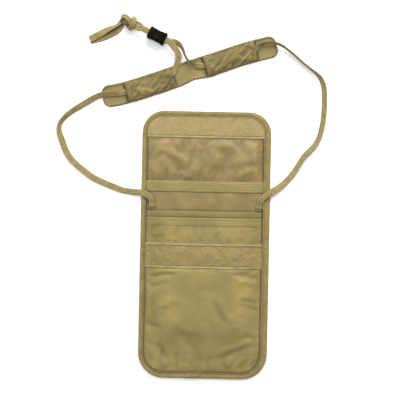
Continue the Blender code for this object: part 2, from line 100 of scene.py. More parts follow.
# The crowns stop short of the CAD panels' tops, which leaves room for the cloth's thickness.
POCKET_RISE = box_mm("middle_pocket_panel")[1].z - POCKET_Z - 0.2
FRONT_RISE = box_mm("front_pocket_panel")[1].z - FRONT_Z - 0.3
POCKET_MOUTH = box_mm("middle_pocket_panel")[1].y
FRONT_MOUTH = box_mm("front_pocket_panel")[1].y
LOOP_LOW, LOOP_HIGH = box_mm("loop_tape")[0].y, box_mm("loop_tape")[1].y
HOOK_SETBACK = 4.5
HOOK_LOW = box_mm("hook_tape")[0].y + HOOK_SETBACK
CROWN_FOOT = 8.0
CROWN_SIDE_RAMP = 25.0
CROWN_END_RAMP = 55.0

# The neck pad's middle line, as in the CAD.
PAD_LINE = [(-110.5, 152.6), (-85.4, 158.3), (-50.5, 170.0), (-14.0, 183.4), (12.0, 192.3),
            (39.2, 202.0), (71.5, 210.9)]
PAD_HALF = 11.75
PAD_END_RADIUS = 8.0
PAD_TOP = box_mm("pad_base")[1].z
SLEEVE_HALF = 11.2
# Where each sleeve starts and ends along the pad; their cloth reaches up to 1.3 mm past the CAD's tunnels.
LEFT_SLEEVE = (25.5, 77.8)
RIGHT_SLEEVE = (112.2, 168.7)

# The cord and its lock, as in the CAD.
CORD_WIDTH = 6.5
CORD_THICKNESS = 1.3
CORD_RIBS = 4
LOCK_CENTRE = Vector((-54.2, 217.5, 0.0))
LOCK_TURN = math.radians(-25.1)
LOCK_HEIGHT = box_mm("lock_body")[1].z
BUTTON_TOP = box_mm("lock_button")[1].z
LOWER_STRAND_Z = 6.2
UPPER_STRAND_Z = 7.7
KNOT_FACE = -22.4
KNOT_LENGTH = 19.5
KNOT_HEIGHT = box_mm("cord_knot")[1].z

# Route points: x, y, height of the tape's underside, and its roll from flat onto its edge in degrees.
LEFT_ROUTE = [
    (-56.0, 36.5, 1.75, 0), (-56.1, 42.5, 1.9, 0), (-57.3, 47.8, 3.5, 0), (-61.2, 51.2, 3.9, 0),
    (-67.0, 53.2, 4.0, 0), (-73.0, 53.9, 2.0, 0), (-80.5, 54.5, 0.1, 0), (-88.7, 56.0, 0.1, 0),
    (-102.8, 61.3, 0.1, 5), (-117.0, 67.6, 0.1, 10), (-126.5, 73.9, 0.1, 10),
    (-136.0, 81.3, 0.1, 10), (-143.8, 89.5, 0.1, 10), (-148.6, 97.9, 0.1, 10),
    (-151.6, 106.3, 0.1, 15), (-154.3, 113.7, 0.1, 30), (-155.1, 120.0, 0.1, 45),
    (-153.3, 125.9, 0.1, 50), (-148.3, 132.0, 0.1, 45), (-141.9, 137.4, 0.1, 35),
    (-134.5, 142.2, 0.2, 25), (-126.2, 147.5, 0.5, 15), (-118.4, 152.0, 1.6, 25),
    (-109.4, 155.4, 1.6, 30), (-98.5, 156.7, 1.6, 30), (-86.4, 158.4, 1.6, 10),
    (-70.0, 163.6, 1.6, 0), (-52.5, 170.3, 1.6, 0), (-43.0, 174.8, 1.6, 0),
    (-37.2, 179.4, 1.6, 5), (-34.2, 185.3, 1.6, 15), (-32.2, 191.4, 1.6, 25),
    (-31.6, 197.0, 2.6, 25), (-33.6, 202.6, 4.4, 15), (-37.8, 207.6, 6.7, 5)]
RIGHT_ROUTE = [
    (-36.6, 211.4, 5.0, 10), (-31.6, 209.6, 3.0, 35), (-27.6, 205.0, 1.5, 65),
    (-25.0, 198.6, 1.2, 75), (-21.6, 192.6, 1.6, 75), (-16.2, 189.0, 1.6, 50),
    (-10.2, 187.4, 1.6, 12), (-3.3, 188.4, 1.6, 8), (12.0, 192.9, 1.6, 0), (27.0, 197.9, 1.6, 0),
    (41.2, 203.2, 1.6, 0), (49.2, 206.6, 1.6, 22), (55.4, 211.2, 1.7, 64), (62.0, 213.0, 1.7, 76),
    (69.4, 212.7, 1.7, 76), (76.6, 210.0, 1.6, 75), (84.0, 205.2, 0.4, 80),
    (90.4, 200.2, 0.1, 80), (97.5, 194.0, 0.1, 82), (105.7, 187.5, 0.1, 80),
    (112.5, 182.4, 0.1, 70), (118.0, 176.6, 0.1, 50), (121.4, 167.7, 0.1, 40),
    (122.3, 155.7, 0.1, 38), (122.1, 142.3, 0.1, 38), (120.7, 128.9, 0.1, 38),
    (117.9, 116.5, 0.1, 38), (113.7, 107.8, 0.1, 38), (107.7, 101.2, 0.1, 38),
    (102.3, 95.6, 0.1, 38), (98.3, 89.3, 0.1, 35), (94.3, 82.1, 0.1, 30), (89.1, 74.7, 0.1, 30),
    (82.4, 67.2, 0.2, 28), (75.4, 61.4, 2.2, 20), (68.4, 56.7, 4.0, 10), (62.2, 52.0, 3.9, 0),
    (58.0, 48.0, 3.7, 0), (56.3, 42.5, 2.0, 0), (56.0, 36.5, 1.75, 0)]
STRAND_SPLAY = 1.5
# Where the two runs lie inside the lock and up to the knot: along its axis, and apart.
LOCK_RUN = [(13.2, 0.0), (2.0, 0.0), (-9.0, 0.1), (-17.6, 0.15), (-19.9, 1.1), (-21.6, STRAND_SPLAY)]

# The doubled cord's way through the knot, about the knot's centre: along the lock's axis (towards the
# lock), across it, and up. The tape's face is turned away from the knot's heart.
KNOT_PATH = [
    (10.4, 0.2, 2.6), (6.5, 0.4, 1.3), (2.0, -0.4, 0.0), (-3.0, -1.5, -1.0), (-7.2, -1.8, -0.8),
    (-9.0, 0.6, 1.0), (-7.4, 3.0, 2.6), (-3.0, 2.4, 3.4), (1.2, 0.2, 2.6), (4.2, -2.8, 1.2),
    (4.4, -5.4, -1.0), (3.0, -4.0, -3.2), (2.2, 0.0, -3.9), (2.4, 4.2, -3.2), (2.8, 6.2, -0.6),
    (3.2, 5.2, 2.8), (4.4, 1.5, 4.6), (4.2, -3.0, 4.0), (2.8, -5.4, 1.0), (0.0, -4.2, -2.0),
    (-4.0, -1.8, -2.9), (-7.4, -1.4, -3.0)]
# The knot's half sizes, which set what counts as outwards in it; how often the tape's directions are
# averaged; how much of its width the tape loses there; and how far each strand lies from the doubled middle.
KNOT_HALVES = (9.0, 7.0, 4.2)
KNOT_STEP = 1.6
KNOT_EASING = 10
KNOT_BUNCHING = 0.2
KNOT_TURN_IN = 6
STRAND_LAYER = 0.72

# The tail, as in the CAD: out along one side, folded over, and back beside itself.
TAIL_ANGLE = math.radians(205.0)
TAIL_START = Vector((-94.0, 226.6, 0.0))
TAIL_LENGTH = 33.0
TAIL_LOOP = 0.78
TAIL_SPREAD = 1.12
TAIL_SLANT = 0.12

# How closely the cord follows its route, its slanted yarns, and the limits of its width and lowest point.
CORD_STEP = 0.62
YARN_PITCH = 2.6
YARN_RELIEF = 0.07
NARROWEST_SPREAD = 0.6
FLOOR_GAP = 0.03


# ---------------- small helpers

def smooth_step(value):
    """0 below 0, 1 above 1, and a smooth rise between."""
    value = min(1.0, max(0.0, value))
    return value * value * (3.0 - 2.0 * value)


def catmull_rom(points, step):
    """Points about a step apart on one smooth curve through the given points, which may be of any size."""
    points = [np.array(point, float) for point in points]
    ends = [2 * points[0] - points[1]] + points + [2 * points[-1] - points[-2]]
    curve = []
    for before, start, end, after in zip(ends, ends[1:], ends[2:], ends[3:]):
        count = max(1, round(float(np.linalg.norm((end - start)[:3])) / step))
        for index in range(count):
            t = index / count
            curve.append(0.5 * (2 * start + (end - before) * t
                                + (2 * before - 5 * start + 4 * end - after) * t ** 2
                                + (3 * start - before - 3 * end + after) * t ** 3))
    curve.append(points[-1])
    return curve


def fractal(x, y, seed, octaves=3):
    """Smooth noise from about -1 to 1 at a place."""
    return noise.fractal(Vector((x, y, seed)), 1.0, 2.0, octaves) * 0.9


def crown(x, y, rise):
    """Height of a pocket's crown above its seams."""
    side = (HALF_WIDTH - abs(x) - CROWN_FOOT) / CROWN_SIDE_RAMP
    end = (y - BOTTOM_Y - CROWN_FOOT) / CROWN_END_RAMP
    return rise * smooth_step(side) * smooth_step(end)


def lock_point(along, across, z):
    """A point given along and across the cord lock's axis."""
    return LOCK_CENTRE + Matrix.Rotation(LOCK_TURN, 3, "Z") @ Vector((along, across, 0.0)) + UP * z


def square_to(direction, along):
    """The unit part of a direction at right angles to another."""
    return (direction - along * direction.dot(along)).normalized()


def new_piece(name, verts, faces, material, uvs=None):
    """A smooth mesh object in metres from points in millimetres; uvs holds a (u, v) for each face corner."""
    mesh = bpy.data.meshes.new(name)
    mesh.from_pydata([tuple(float(value) * MM for value in vert) for vert in verts], [], faces)
    if uvs is not None:
        layer = mesh.uv_layers.new(name=CLOTH_MAP)
        layer.data.foreach_set("uv", np.array(uvs, np.float32).ravel())
    mesh.shade_smooth()
    mesh.materials.append(material)
    obj = bpy.data.objects.new(name, mesh)
    bpy.context.scene.collection.objects.link(obj)
    return obj


def add_modifier(obj, kind, **settings):
    """A modifier with its settings."""
    modifier = obj.modifiers.new(kind.lower(), kind)
    for name, value in settings.items():
        setattr(modifier, name, value)
    return modifier


def thicken(obj, thickness, offset=1.0):
    """Give a sheet its thickness, on the side its faces point to (1) or on both sides (0)."""
    return add_modifier(obj, "SOLIDIFY", thickness=thickness * MM, offset=offset, use_even_offset=False)


def grid_sheet(name, grid, material, uv_grid=None):
    """A sheet through a grid of points; its map is in millimetres unless one is given."""
    rows, columns = len(grid), len(grid[0])
    verts = [point for row in grid for point in row]
    uv_grid = uv_grid or [[(point[0], point[1]) for point in row] for row in grid]
    faces, uvs = [], []
    for row in range(rows - 1):
        for column in range(columns - 1):
            corners = [(row, column), (row, column + 1), (row + 1, column + 1), (row + 1, column)]
            faces.append([r * columns + c for r, c in corners])
            uvs += [uv_grid[r][c] for r, c in corners]
    return new_piece(name, verts, faces, material, uvs)


def tube_faces(count, rows, first=0, closed=False):
    """Faces that join rows of count points each into a capped tube, or into a ring if it is closed."""
    faces = []
    for row in range(rows if closed else rows - 1):
        here, there = first + row * count, first + (row + 1) % rows * count
        for index in range(count):
            after = (index + 1) % count
            faces.append([here + index, here + after, there + after, there + index])
    if not closed:
        faces.append([first + index for index in reversed(range(count))])
        faces.append([first + (rows - 1) * count + index for index in range(count)])
    return faces


def sweep(name, sections, across, along, material, closed=False):
    """Join closed sections into a tube; across and along give its map, in millimetres."""
    count = len(sections[0])
    verts = [point for section in sections for point in section]
    uvs = []
    for row in range(len(sections) if closed else len(sections) - 1):
        for column in range(count):
            uvs += [(across[column], along[row]), (across[column + 1], along[row]),
                    (across[column + 1], along[row + 1]), (across[column], along[row + 1])]
    if not closed:
        uvs += [(across[column], along[0]) for column in reversed(range(count))]
        uvs += [(across[column], along[-1]) for column in range(count)]
    obj = new_piece(name, verts, tube_faces(count, len(sections), closed=closed), material, uvs)
    face_out(obj)
    return obj


def solid_from_rings(name, rings, material):
    """A closed solid through level rings of the same number of points, capped at both ends."""
    verts = [point for ring in rings for point in ring]
    obj = new_piece(name, verts, tube_faces(len(rings[0]), len(rings)), material)
    face_out(obj)
    return obj


def face_out(obj):
    """Turn a closed mesh's faces outwards if they point in."""
    mesh = obj.data
    volume = 0.0
    for polygon in mesh.polygons:
        first = mesh.vertices[polygon.vertices[0]].co
        for near, far in zip(polygon.vertices[1:-1], polygon.vertices[2:]):
            volume += first.dot(mesh.vertices[near].co.cross(mesh.vertices[far].co))
    if volume < 0:
        mesh.flip_normals()


# ---------------- materials

# Colour multipliers: painted highlight on the highest ridge, painted shade in the deepest crease.
RIDGE_HIGHLIGHT, CREASE_SHADE = 1.34, 0.27
# A wave texture's ridges are this far apart at a scale of 1.
WAVE_PERIOD = 0.31416


def tone(colour, factor):
    """A colour made lighter or darker."""
    return tuple(channel * factor for channel in colour)


def grey(level):
    """A grey, white at 1."""
    return (level, level, level)


class Nodes:
    """A short way to write a material's node tree."""

    def __init__(self, name, colour, roughness, **fixed):
        self.material = bpy.data.materials.new(name)
        self.material.use_nodes = True
        self.tree = self.material.node_tree
        self.shader = self.tree.nodes["Principled BSDF"]
        self.shader.inputs["Base Color"].default_value = (*colour, 1.0)
        self.shader.inputs["Roughness"].default_value = roughness
        for socket, value in fixed.items():
            self.shader.inputs[socket.replace("_", " ")].default_value = value

    def add(self, kind, links=None, **settings):
        """Add a node, set its settings, and link its inputs from sockets or give them values."""
        node = self.tree.nodes.new("ShaderNode" + kind)
        for name, value in settings.items():
            setattr(node, name, value)
        for name, value in (links or {}).items():
            if isinstance(value, bpy.types.NodeSocket):
                self.tree.links.new(value, node.inputs[name])
            else:
                node.inputs[name].default_value = value
        return node

    def place(self, mapped=True):
        """Where a point is: on the cloth's own map in millimetres, or in the object in metres."""
        if mapped:
            return self.add("UVMap", uv_map=CLOTH_MAP).outputs["UV"]
        return self.add("TexCoord").outputs["Object"]

    def noise(self, place, scale, detail=3.0):
        """Noise from 0 to 1."""
        return self.add("TexNoise", {"Vector": place, "Scale": scale, "Detail": detail}).outputs["Fac"]

    def wave(self, place, period, direction, distortion=0.0):
        """Ridges a period apart, in the units of the place."""
        return self.add("TexWave", {"Vector": place, "Scale": WAVE_PERIOD / period, "Distortion": distortion,
                                    "Detail": 1.0, "Detail Scale": 2.0},
                        bands_direction=direction).outputs["Fac"]

    def maths(self, operation, first, second):
        """A maths node's result."""
        return self.add("Math", {0: first, 1: second}, operation=operation).outputs[0]

    def ramp(self, factor, low, high, colours):
        """A two-colour ramp between two places of a factor."""
        node = self.add("ValToRGB", {"Fac": factor})
        for element, position, colour in zip(node.color_ramp.elements, (low, high), colours):
            element.position = position
            element.color = (*colour, 1.0)
        return node.outputs["Color"]

    def mottle(self, factor, colour, dark, pale, low=0.3, high=0.7):
        """A colour that follows a factor from a darker to a paler tone of itself."""
        return self.ramp(factor, low, high, (tone(colour, dark), tone(colour, pale)))

    def multiply(self, first, second):
        """One colour multiplied by another."""
        node = self.add("Mix", {"Factor": 1.0}, data_type="RGBA", blend_type="MULTIPLY")
        self.tree.links.new(first, node.inputs[6])
        self.tree.links.new(second, node.inputs[7])
        return node.outputs[2]

    def shade(self, base, *layers):
        """A colour shaded by layers: each has a factor, its ramp's two places, and the grey at each."""
        for factor, low, high, start, end in layers:
            base = self.multiply(base, self.ramp(factor, low, high, (grey(start), grey(end))))
        return base

    def colour(self, socket):
        """Use a socket as the base colour, with painted shade in creases and a painted highlight on ridges.
        """
        crease = self.add("Attribute", attribute_name=PAINTED_SHADE_ATTRIBUTE).outputs["Fac"]
        shade = self.add("MapRange", {"Value": crease, "From Min": -1.0, "From Max": 1.0,
                                      "To Min": RIDGE_HIGHLIGHT, "To Max": CREASE_SHADE})
        shaded = self.multiply(socket, shade.outputs["Result"])
        self.tree.links.new(shaded, self.shader.inputs["Base Color"])

    def rough_between(self, factor, low, high):
        """Let the roughness follow a factor between two values."""
        span = self.add("MapRange", {"Value": factor, "To Min": low, "To Max": high})
        self.tree.links.new(span.outputs["Result"], self.shader.inputs["Roughness"])

    def bump(self, height, strength, distance):
        """Use a height, in millimetres, as bump on top of any bump given before."""
        node = self.add("Bump", {"Height": height, "Strength": strength, "Distance": distance * MM})
        earlier = self.shader.inputs["Normal"].links
        if earlier:
            self.tree.links.new(earlier[0].from_socket, node.inputs["Normal"])
        self.tree.links.new(node.outputs["Normal"], self.shader.inputs["Normal"])


def woven(name, colour, thread=0.45, check=3.0, shine=0.78, mottling=0.16, check_depth=0.07):
    """Fine plain-woven nylon: threads both ways, a faint check, uneven tone and painted highlights on high
    spots.
    """
    nodes = Nodes(name, colour, shine, Sheen_Weight=0.06, Sheen_Roughness=0.5, Specular_IOR_Level=0.22)
    place = nodes.place()
    warp = nodes.wave(place, thread, "X", 0.3)
    weft = nodes.wave(place, thread, "Y", 0.3)
    weave = nodes.maths("MULTIPLY", warp, weft)
    check_x = nodes.maths("POWER", nodes.wave(place, check, "X"), 10.0)
    check_y = nodes.maths("POWER", nodes.wave(place, check, "Y"), 10.0)
    checks = nodes.maths("MAXIMUM", check_x, check_y)
    clouds = nodes.noise(place, 0.035, 4.0)
    grain = nodes.noise(place, 0.9, 2.0)
    base = nodes.mottle(clouds, colour, 1 - mottling, 1 + mottling)
    nodes.colour(nodes.shade(base, (grain, 0.3, 0.7, 0.90, 1.06), (weave, 0.0, 0.8, 0.86, 1.0),
                             (checks, 0.0, 1.0, 1.0, 1 - check_depth)))
    nodes.rough_between(clouds, shine - 0.08, shine + 0.04)
    nodes.bump(weave, 0.5, 0.06)
    nodes.bump(checks, 0.35, 0.08)
    nodes.bump(nodes.noise(place, 0.25, 3.0), 0.35, 0.25)
    return nodes.material


def tape_cloth(name, colour, rib=0.8, roughness=0.85):
    """Woven edge tape: crosswise ribs, a heathered tone and a fuzzy surface."""
    nodes = Nodes(name, colour, roughness, Sheen_Weight=0.1, Sheen_Roughness=0.45, Specular_IOR_Level=0.2)
    place = nodes.place()
    ribs = nodes.wave(place, rib, "Y", 0.4)
    threads = nodes.wave(place, 0.5, "X", 0.4)
    weave = nodes.maths("MULTIPLY", ribs, threads)
    clouds = nodes.noise(place, 0.12, 4.0)
    base = nodes.mottle(clouds, colour, 0.82, 1.14)
    nodes.colour(nodes.shade(base, (weave, 0.0, 0.9, 0.80, 1.0)))
    nodes.bump(weave, 0.6, 0.12)
    nodes.bump(nodes.noise(place, 0.5, 3.0), 0.4, 0.2)
    return nodes.material


def lining_cloth(name, colour):
    """Smooth coated lining: warm, with a soft sheen and blotchy light and dark."""
    nodes = Nodes(name, colour, 0.48, Sheen_Weight=0.03, Specular_IOR_Level=0.35)
    place = nodes.place()
    clouds = nodes.noise(place, 0.06, 4.0)
    base = nodes.mottle(clouds, colour, 0.80, 1.22, 0.32, 0.68)
    weave = nodes.maths("MULTIPLY", nodes.wave(place, 0.4, "X"), nodes.wave(place, 0.4, "Y"))
    nodes.colour(nodes.shade(base, (weave, 0.0, 0.8, 0.92, 1.0)))
    nodes.bump(weave, 0.3, 0.04)
    nodes.bump(nodes.noise(place, 0.12, 3.0), 0.5, 0.6)
    return nodes.material


def pile(name, colour, scale, depth):
    """Hook or loop tape: a close field of tiny tufts."""
    nodes = Nodes(name, colour, 0.92, Sheen_Weight=0.15, Sheen_Roughness=0.4, Specular_IOR_Level=0.15)
    place = nodes.place()
    tufts = nodes.add("TexVoronoi", {"Vector": place, "Scale": scale}).outputs["Distance"]
    fuzz = nodes.noise(place, scale * 1.3, 4.0)
    clouds = nodes.noise(place, 0.1, 3.0)
    mixed = nodes.maths("MULTIPLY", tufts, fuzz)
    base = nodes.mottle(mixed, colour, 1.18, 0.62, 0.05, 0.42)
    nodes.colour(nodes.shade(base, (clouds, 0.3, 0.7, 0.88, 1.0)))
    nodes.bump(mixed, 0.8, -depth)
    return nodes.material


def braid(name, colour):
    """Flat braid: ribs lengthwise, crossed by slanted yarns that alternate from rib to rib."""
    nodes = Nodes(name, colour, 0.8, Sheen_Weight=0.1, Sheen_Roughness=0.45, Specular_IOR_Level=0.2)
    place = nodes.place()
    ribs = nodes.wave(place, CORD_WIDTH / CORD_RIBS, "X")
    slant = nodes.wave(place, 1.3, "DIAGONAL", 0.3)
    yarns = nodes.maths("MULTIPLY", ribs, slant)
    clouds = nodes.noise(place, 0.15, 4.0)
    base = nodes.mottle(clouds, colour, 0.84, 1.16)
    # The rib bands' dark lows lie in the grooves between the section's ribs: painted shade there.
    nodes.colour(nodes.shade(base, (ribs, 0.05, 0.7, 0.22, 1.08), (yarns, 0.0, 0.7, 0.82, 1.05)))
    nodes.bump(yarns, 0.7, 0.22)
    return nodes.material


def thread(name, colour):
    """Twisted sewing thread."""
    nodes = Nodes(name, colour, 0.6, Sheen_Weight=0.2, Specular_IOR_Level=0.4)
    place = nodes.place(mapped=False)
    tint = nodes.noise(place, 900.0, 2.0)
    nodes.colour(nodes.mottle(tint, colour, 0.75, 1.2))
    nodes.bump(nodes.noise(place, 4000.0, 1.0), 0.4, 0.1)
    return nodes.material


def plastic(name, colour, roughness):
    """Black moulded plastic: a fine spark-eroded grain, handling wear and a trace of dust."""
    nodes = Nodes(name, colour, roughness, Specular_IOR_Level=0.035)
    place = nodes.place(mapped=False)
    grain = nodes.noise(place, 2600.0, 3.0)
    wear = nodes.noise(place, 220.0, 4.0)
    nodes.colour(nodes.mottle(wear, colour, 0.8, 2.0, 0.35, 0.75))
    nodes.rough_between(wear, roughness - 0.1, roughness + 0.15)
    nodes.bump(grain, 0.35, 0.05)
    return nodes.material


def steel(name):
    """Drawn spring wire."""
    nodes = Nodes(name, (0.6, 0.6, 0.58), 0.3, Metallic=1.0)
    place = nodes.place(mapped=False)
    nodes.rough_between(nodes.noise(place, 3000.0), 0.2, 0.45)
    nodes.colour(nodes.ramp(nodes.noise(place, 800.0), 0.3, 0.7, ((0.5, 0.5, 0.48), (0.68, 0.68, 0.66))))
    return nodes.material


SHELL = woven("shell_cloth_look", (0.254, 0.196, 0.068), check_depth=0.11)
PAD = woven("pad_cloth_look", (0.232, 0.180, 0.062), mottling=0.2, shine=0.62)
SLEEVE = woven("sleeve_cloth_look", (0.153, 0.117, 0.036), mottling=0.2, shine=0.58)
POCKET = woven("pocket_cloth_look", (0.215, 0.165, 0.057), check=4.0)
LINING = lining_cloth("lining_look", (0.186, 0.131, 0.040))
TAPE = tape_cloth("binding_look", (0.243, 0.186, 0.066))
HEM = tape_cloth("selvedge_look", (0.3486, 0.2863, 0.1286), rib=0.6)
LOOP = pile("loop_look", (0.285, 0.218, 0.086), 1.7, 0.4)
HOOK = pile("hook_look", (0.318, 0.250, 0.108), 1.6, 0.12)
BRAID = braid("braid_look", (0.318, 0.252, 0.100))
THREAD = thread("thread_look", (0.1411, 0.1037, 0.0349))
DARK_THREAD = thread("dark_thread_look", (0.0622, 0.0415, 0.0133))
PALE_THREAD = thread("pale_thread_look", (0.3818, 0.3154, 0.1494))
PLASTIC = plastic("lock_look", (0.0030, 0.0025, 0.0018), 0.62)
BUTTON = plastic("button_look", (0.0048, 0.0041, 0.0030), 0.5)
STEEL = steel("spring_look")


# ---------------- camera and light

VIEW_CENTRE = Vector((-5.9, 47.0))
VIEW_SIZE = 420.0
VIEW_TURN = math.radians(1.2)
LENS = 100.0
SENSOR = 36.0
WORLD_LIGHT = 0.62
KEY_LIGHT = 45.5
FILL_LIGHT = 20.0
LIT_PLACE = (0.0, 0.05, 0.0)
FLOOR_REACH = 3000.0
FLOOR_Z = -0.05


def add_area(name, place, size, power, colour=(1.0, 1.0, 1.0)):
    """A soft square light that points at the object."""
    light = bpy.data.lights.new(name, "AREA")
    light.size = size
    light.energy = power
    light.color = colour
    obj = bpy.data.objects.new(name, light)
    obj.location = place
    obj.rotation_euler = (Vector(LIT_PLACE) - Vector(place)).to_track_quat("-Z", "Y").to_euler()
    bpy.context.scene.collection.objects.link(obj)


def stage_scene():
    """The camera straight above, a pale floor, a key light past the flap and a weaker one on the left."""
    camera = bpy.data.cameras.new("camera")
    camera.lens = LENS
    camera.sensor_width = SENSOR
    camera.clip_end = 50.0
    obj = bpy.data.objects.new("camera", camera)
    height = VIEW_SIZE * LENS / SENSOR
    obj.location = Vector((VIEW_CENTRE.x, VIEW_CENTRE.y, height)) * MM
    obj.rotation_euler = (0.0, 0.0, VIEW_TURN)
    bpy.context.scene.collection.objects.link(obj)
    bpy.context.scene.camera = obj

    world = bpy.data.worlds.new("studio")
    world.use_nodes = True
    background = world.node_tree.nodes["Background"]
    background.inputs["Color"].default_value = (1.0, 1.0, 1.0, 1.0)
    background.inputs["Strength"].default_value = WORLD_LIGHT
    bpy.context.scene.world = world
    add_area("key_light", (0.35, 1.25, 0.85), 1.0, KEY_LIGHT, (1.0, 0.985, 0.96))
    add_area("fill_light", (-0.7, 0.3, 1.5), 1.3, FILL_LIGHT)
    bpy.context.scene.view_settings.view_transform = "Standard"

    nodes = Nodes("floor_look", grey(0.93), 0.9, Specular_IOR_Level=0.1)
    patches = nodes.noise(nodes.place(mapped=False), 40.0, 2.0)
    nodes.colour(nodes.ramp(patches, 0.0, 1.0, (grey(0.925), grey(0.935))))
    corners = [(x * FLOOR_REACH, y * FLOOR_REACH, FLOOR_Z) for x, y in ((-1, -1), (1, -1), (1, 1), (-1, 1))]
    floor = new_piece("floor", corners, [(0, 1, 2, 3)], nodes.material)


# ---------------- cord

def level_across(controls, index):
    """The level direction across a route at one of its points."""
    before = controls[max(index - 1, 0)]
    after = controls[min(index + 1, len(controls) - 1)]
    return Vector((before[1] - after[1], after[0] - before[0], 0.0)).normalized()


def rolled_frames(route):
    """Centres and width directions of the tape at route points (x, y, underside, roll)."""
    frames = []
    for index, (x, y, underside, roll) in enumerate(route):
        roll = math.radians(roll)
        half = (CORD_WIDTH * abs(math.sin(roll)) + CORD_THICKNESS * abs(math.cos(roll))) / 2
        wide = level_across(route, index) * math.cos(roll) + UP * math.sin(roll)
        frames.append((Vector((x, y, underside + half)), wide))
    return frames


def lock_frames(runs, z):
    """The tape's frames where it lies flat inside the lock, at distances along the lock's axis."""
    wide = lock_point(0.0, 1.0, 0.0) - LOCK_CENTRE
    return [(lock_point(along, across, z + CORD_THICKNESS / 2), wide) for along, across in runs]


def knot_frames(layer):
    """The tape's frames through the knot, for the strand that lies a distance out from the doubled middle.

    The tape bunches up to a narrower, thicker section there, so its width directions are shorter than 1.
    """
    path = [Vector(point) for point in catmull_rom(KNOT_PATH, KNOT_STEP)]
    last = len(path) - 1
    along = [(path[min(index + 1, last)] - path[max(index - 1, 0)]).normalized() for index in range(last + 1)]
    shares = [smooth_step(min(index, last - index) / KNOT_TURN_IN) for index in range(last + 1)]
    outward = []
    for point, way, share in zip(path, along, shares):
        away = Vector([place / half ** 2 for place, half in zip(point, KNOT_HALVES)]).normalized()
        outward.append(square_to(away * share + UP * (1 - share), way))
    for _ in range(KNOT_EASING):
        eased = [square_to(before + here * 2 + after, way)
                 for before, here, after, way in zip(outward, outward[1:], outward[2:], along[1:])]
        outward = [outward[0], *eased, outward[-1]]
    turned = Matrix.Rotation(LOCK_TURN, 3, "Z")
    centre = lock_point(KNOT_FACE - KNOT_LENGTH / 2, 0.0, KNOT_HEIGHT / 2 + 0.2)
    frames = []
    for index, (point, way, out, share) in enumerate(zip(path, along, outward, shares)):
        apart = -math.copysign(STRAND_SPLAY, layer) * (1.0 - smooth_step((index - 1) / 5))
        place = point + out * layer + Vector((0.0, apart, 0.0))
        frames.append((centre + turned @ place, turned @ out.cross(way) * (1 - KNOT_BUNCHING * share)))
    return frames


def tail_frames():
    """The tape's frames along the tail: out on its edge and then flat, folded under, and back beneath."""
    along = Vector((math.cos(TAIL_ANGLE), math.sin(TAIL_ANGLE), 0.0))
    across = Vector((-along.y, along.x, 0.0))
    path = [(3.0, -2.2, 4.2, 55), (12.0, -2.4, 3.1, 30), (22.0, -1.5, 2.5, 6)]
    for index in range(5):
        angle = math.pi * index / 4
        path.append((TAIL_LENGTH - TAIL_LOOP + TAIL_LOOP * math.sin(angle), -0.7 + 0.35 * index,
                     0.75 + TAIL_LOOP * (1 + math.cos(angle)), 0))
    path += [(24.0, 2.2, 0.75, 0), (14.0, 2.8, 0.8, 0), (3.0, 1.3, 1.9, 0)]
    frames = []
    for x, y, z, roll in path:
        roll = math.radians(roll)
        wide = (across + along * TAIL_SLANT) * math.cos(roll) + UP * math.sin(roll)
        frames.append((TAIL_START + along * x + across * y + UP * z, wide * TAIL_SPREAD))
    return frames


def cord_frames():
    """Every frame of the one cord, from its end inside the left seam to its end inside the right one."""
    left_lock = [(along, -apart) for along, apart in LOCK_RUN]
    right_lock = [(along, apart) for along, apart in reversed(LOCK_RUN)]
    frames = rolled_frames(LEFT_ROUTE) + lock_frames(left_lock, UPPER_STRAND_Z)
    frames += knot_frames(STRAND_LAYER)[1:]
    frames += tail_frames()
    frames += knot_frames(-STRAND_LAYER)[:0:-1]
    frames += lock_frames(right_lock, LOWER_STRAND_Z) + rolled_frames(RIGHT_ROUTE)
    turned = [frames[0]]
    for centre, wide in frames[1:]:
        turned.append((centre, wide if wide.dot(turned[-1][1]) >= 0 else -wide))
    return turned


def braid_section(columns=8):
    """Half thickness of the flat braid across its width: rounded edges and lengthwise ribs."""
    section = []
    for index in range(columns * 2 + 1):
        share = index / (columns * 2) * 2 - 1
        edge = math.sqrt(max(0.0, 1 - abs(share) ** 5))
        rib = 0.76 + 0.24 * abs(math.cos(math.pi * CORD_RIBS * (share + 1) / 2 + math.pi / 2))
        section.append((share * CORD_WIDTH / 2, edge * rib * CORD_THICKNESS / 2))
    return section


def cord_section(centre, tangent, wide, offsets, travelled):
    """The braid's section at a place on its route, ribbed by its slanted yarns and kept above the floor."""
    spread = min(TAIL_SPREAD, max(NARROWEST_SPREAD, wide.length))
    wide = square_to(wide, tangent)
    thick = tangent.cross(wide) / math.sqrt(spread)
    section = []
    for place, height in offsets:
        yarn = math.sin(2 * math.pi * (travelled + abs(place)) / YARN_PITCH)
        spot = centre + wide * place * spread + thick * height * (1 + YARN_RELIEF * yarn)
        section.append((spot.x, spot.y, max(spot.z, FLOOR_GAP)))
    return section


def build_cord():
    """The neck cord as one flat braid, with its knot and its folded tail."""
    controls = [(*centre, *wide) for centre, wide in cord_frames()]
    curve = catmull_rom(controls, CORD_STEP)
    centres = [Vector(point[:3]) for point in curve]
    profile = braid_section()
    offsets = [(v, h) for v, h in profile] + [(v, -h) for v, h in reversed(profile[1:-1])]
    across = [v for v, _ in offsets] + [offsets[0][0]]
    sections, along_map, travelled = [], [0.0], 0.0
    for index, point in enumerate(curve):
        tangent = (centres[min(index + 1, len(centres) - 1)] - centres[max(index - 1, 0)]).normalized()
        sections.append(cord_section(centres[index], tangent, Vector(point[3:]), offsets, travelled))
        if index + 1 < len(curve):
            travelled += (centres[index + 1] - centres[index]).length
            along_map.append(travelled)
    cord = sweep("neck_cord", sections, across, along_map, BRAID)
    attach(cord, "pouch")
    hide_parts("left_cord", "right_cord", "cord_knot", "cord_tail")
    path = [tuple(centre * MM) for centre in centres[::3]] + [tuple(centres[-1] * MM)]
    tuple(path[0])


# ---------------- outline and sheets of the pouch

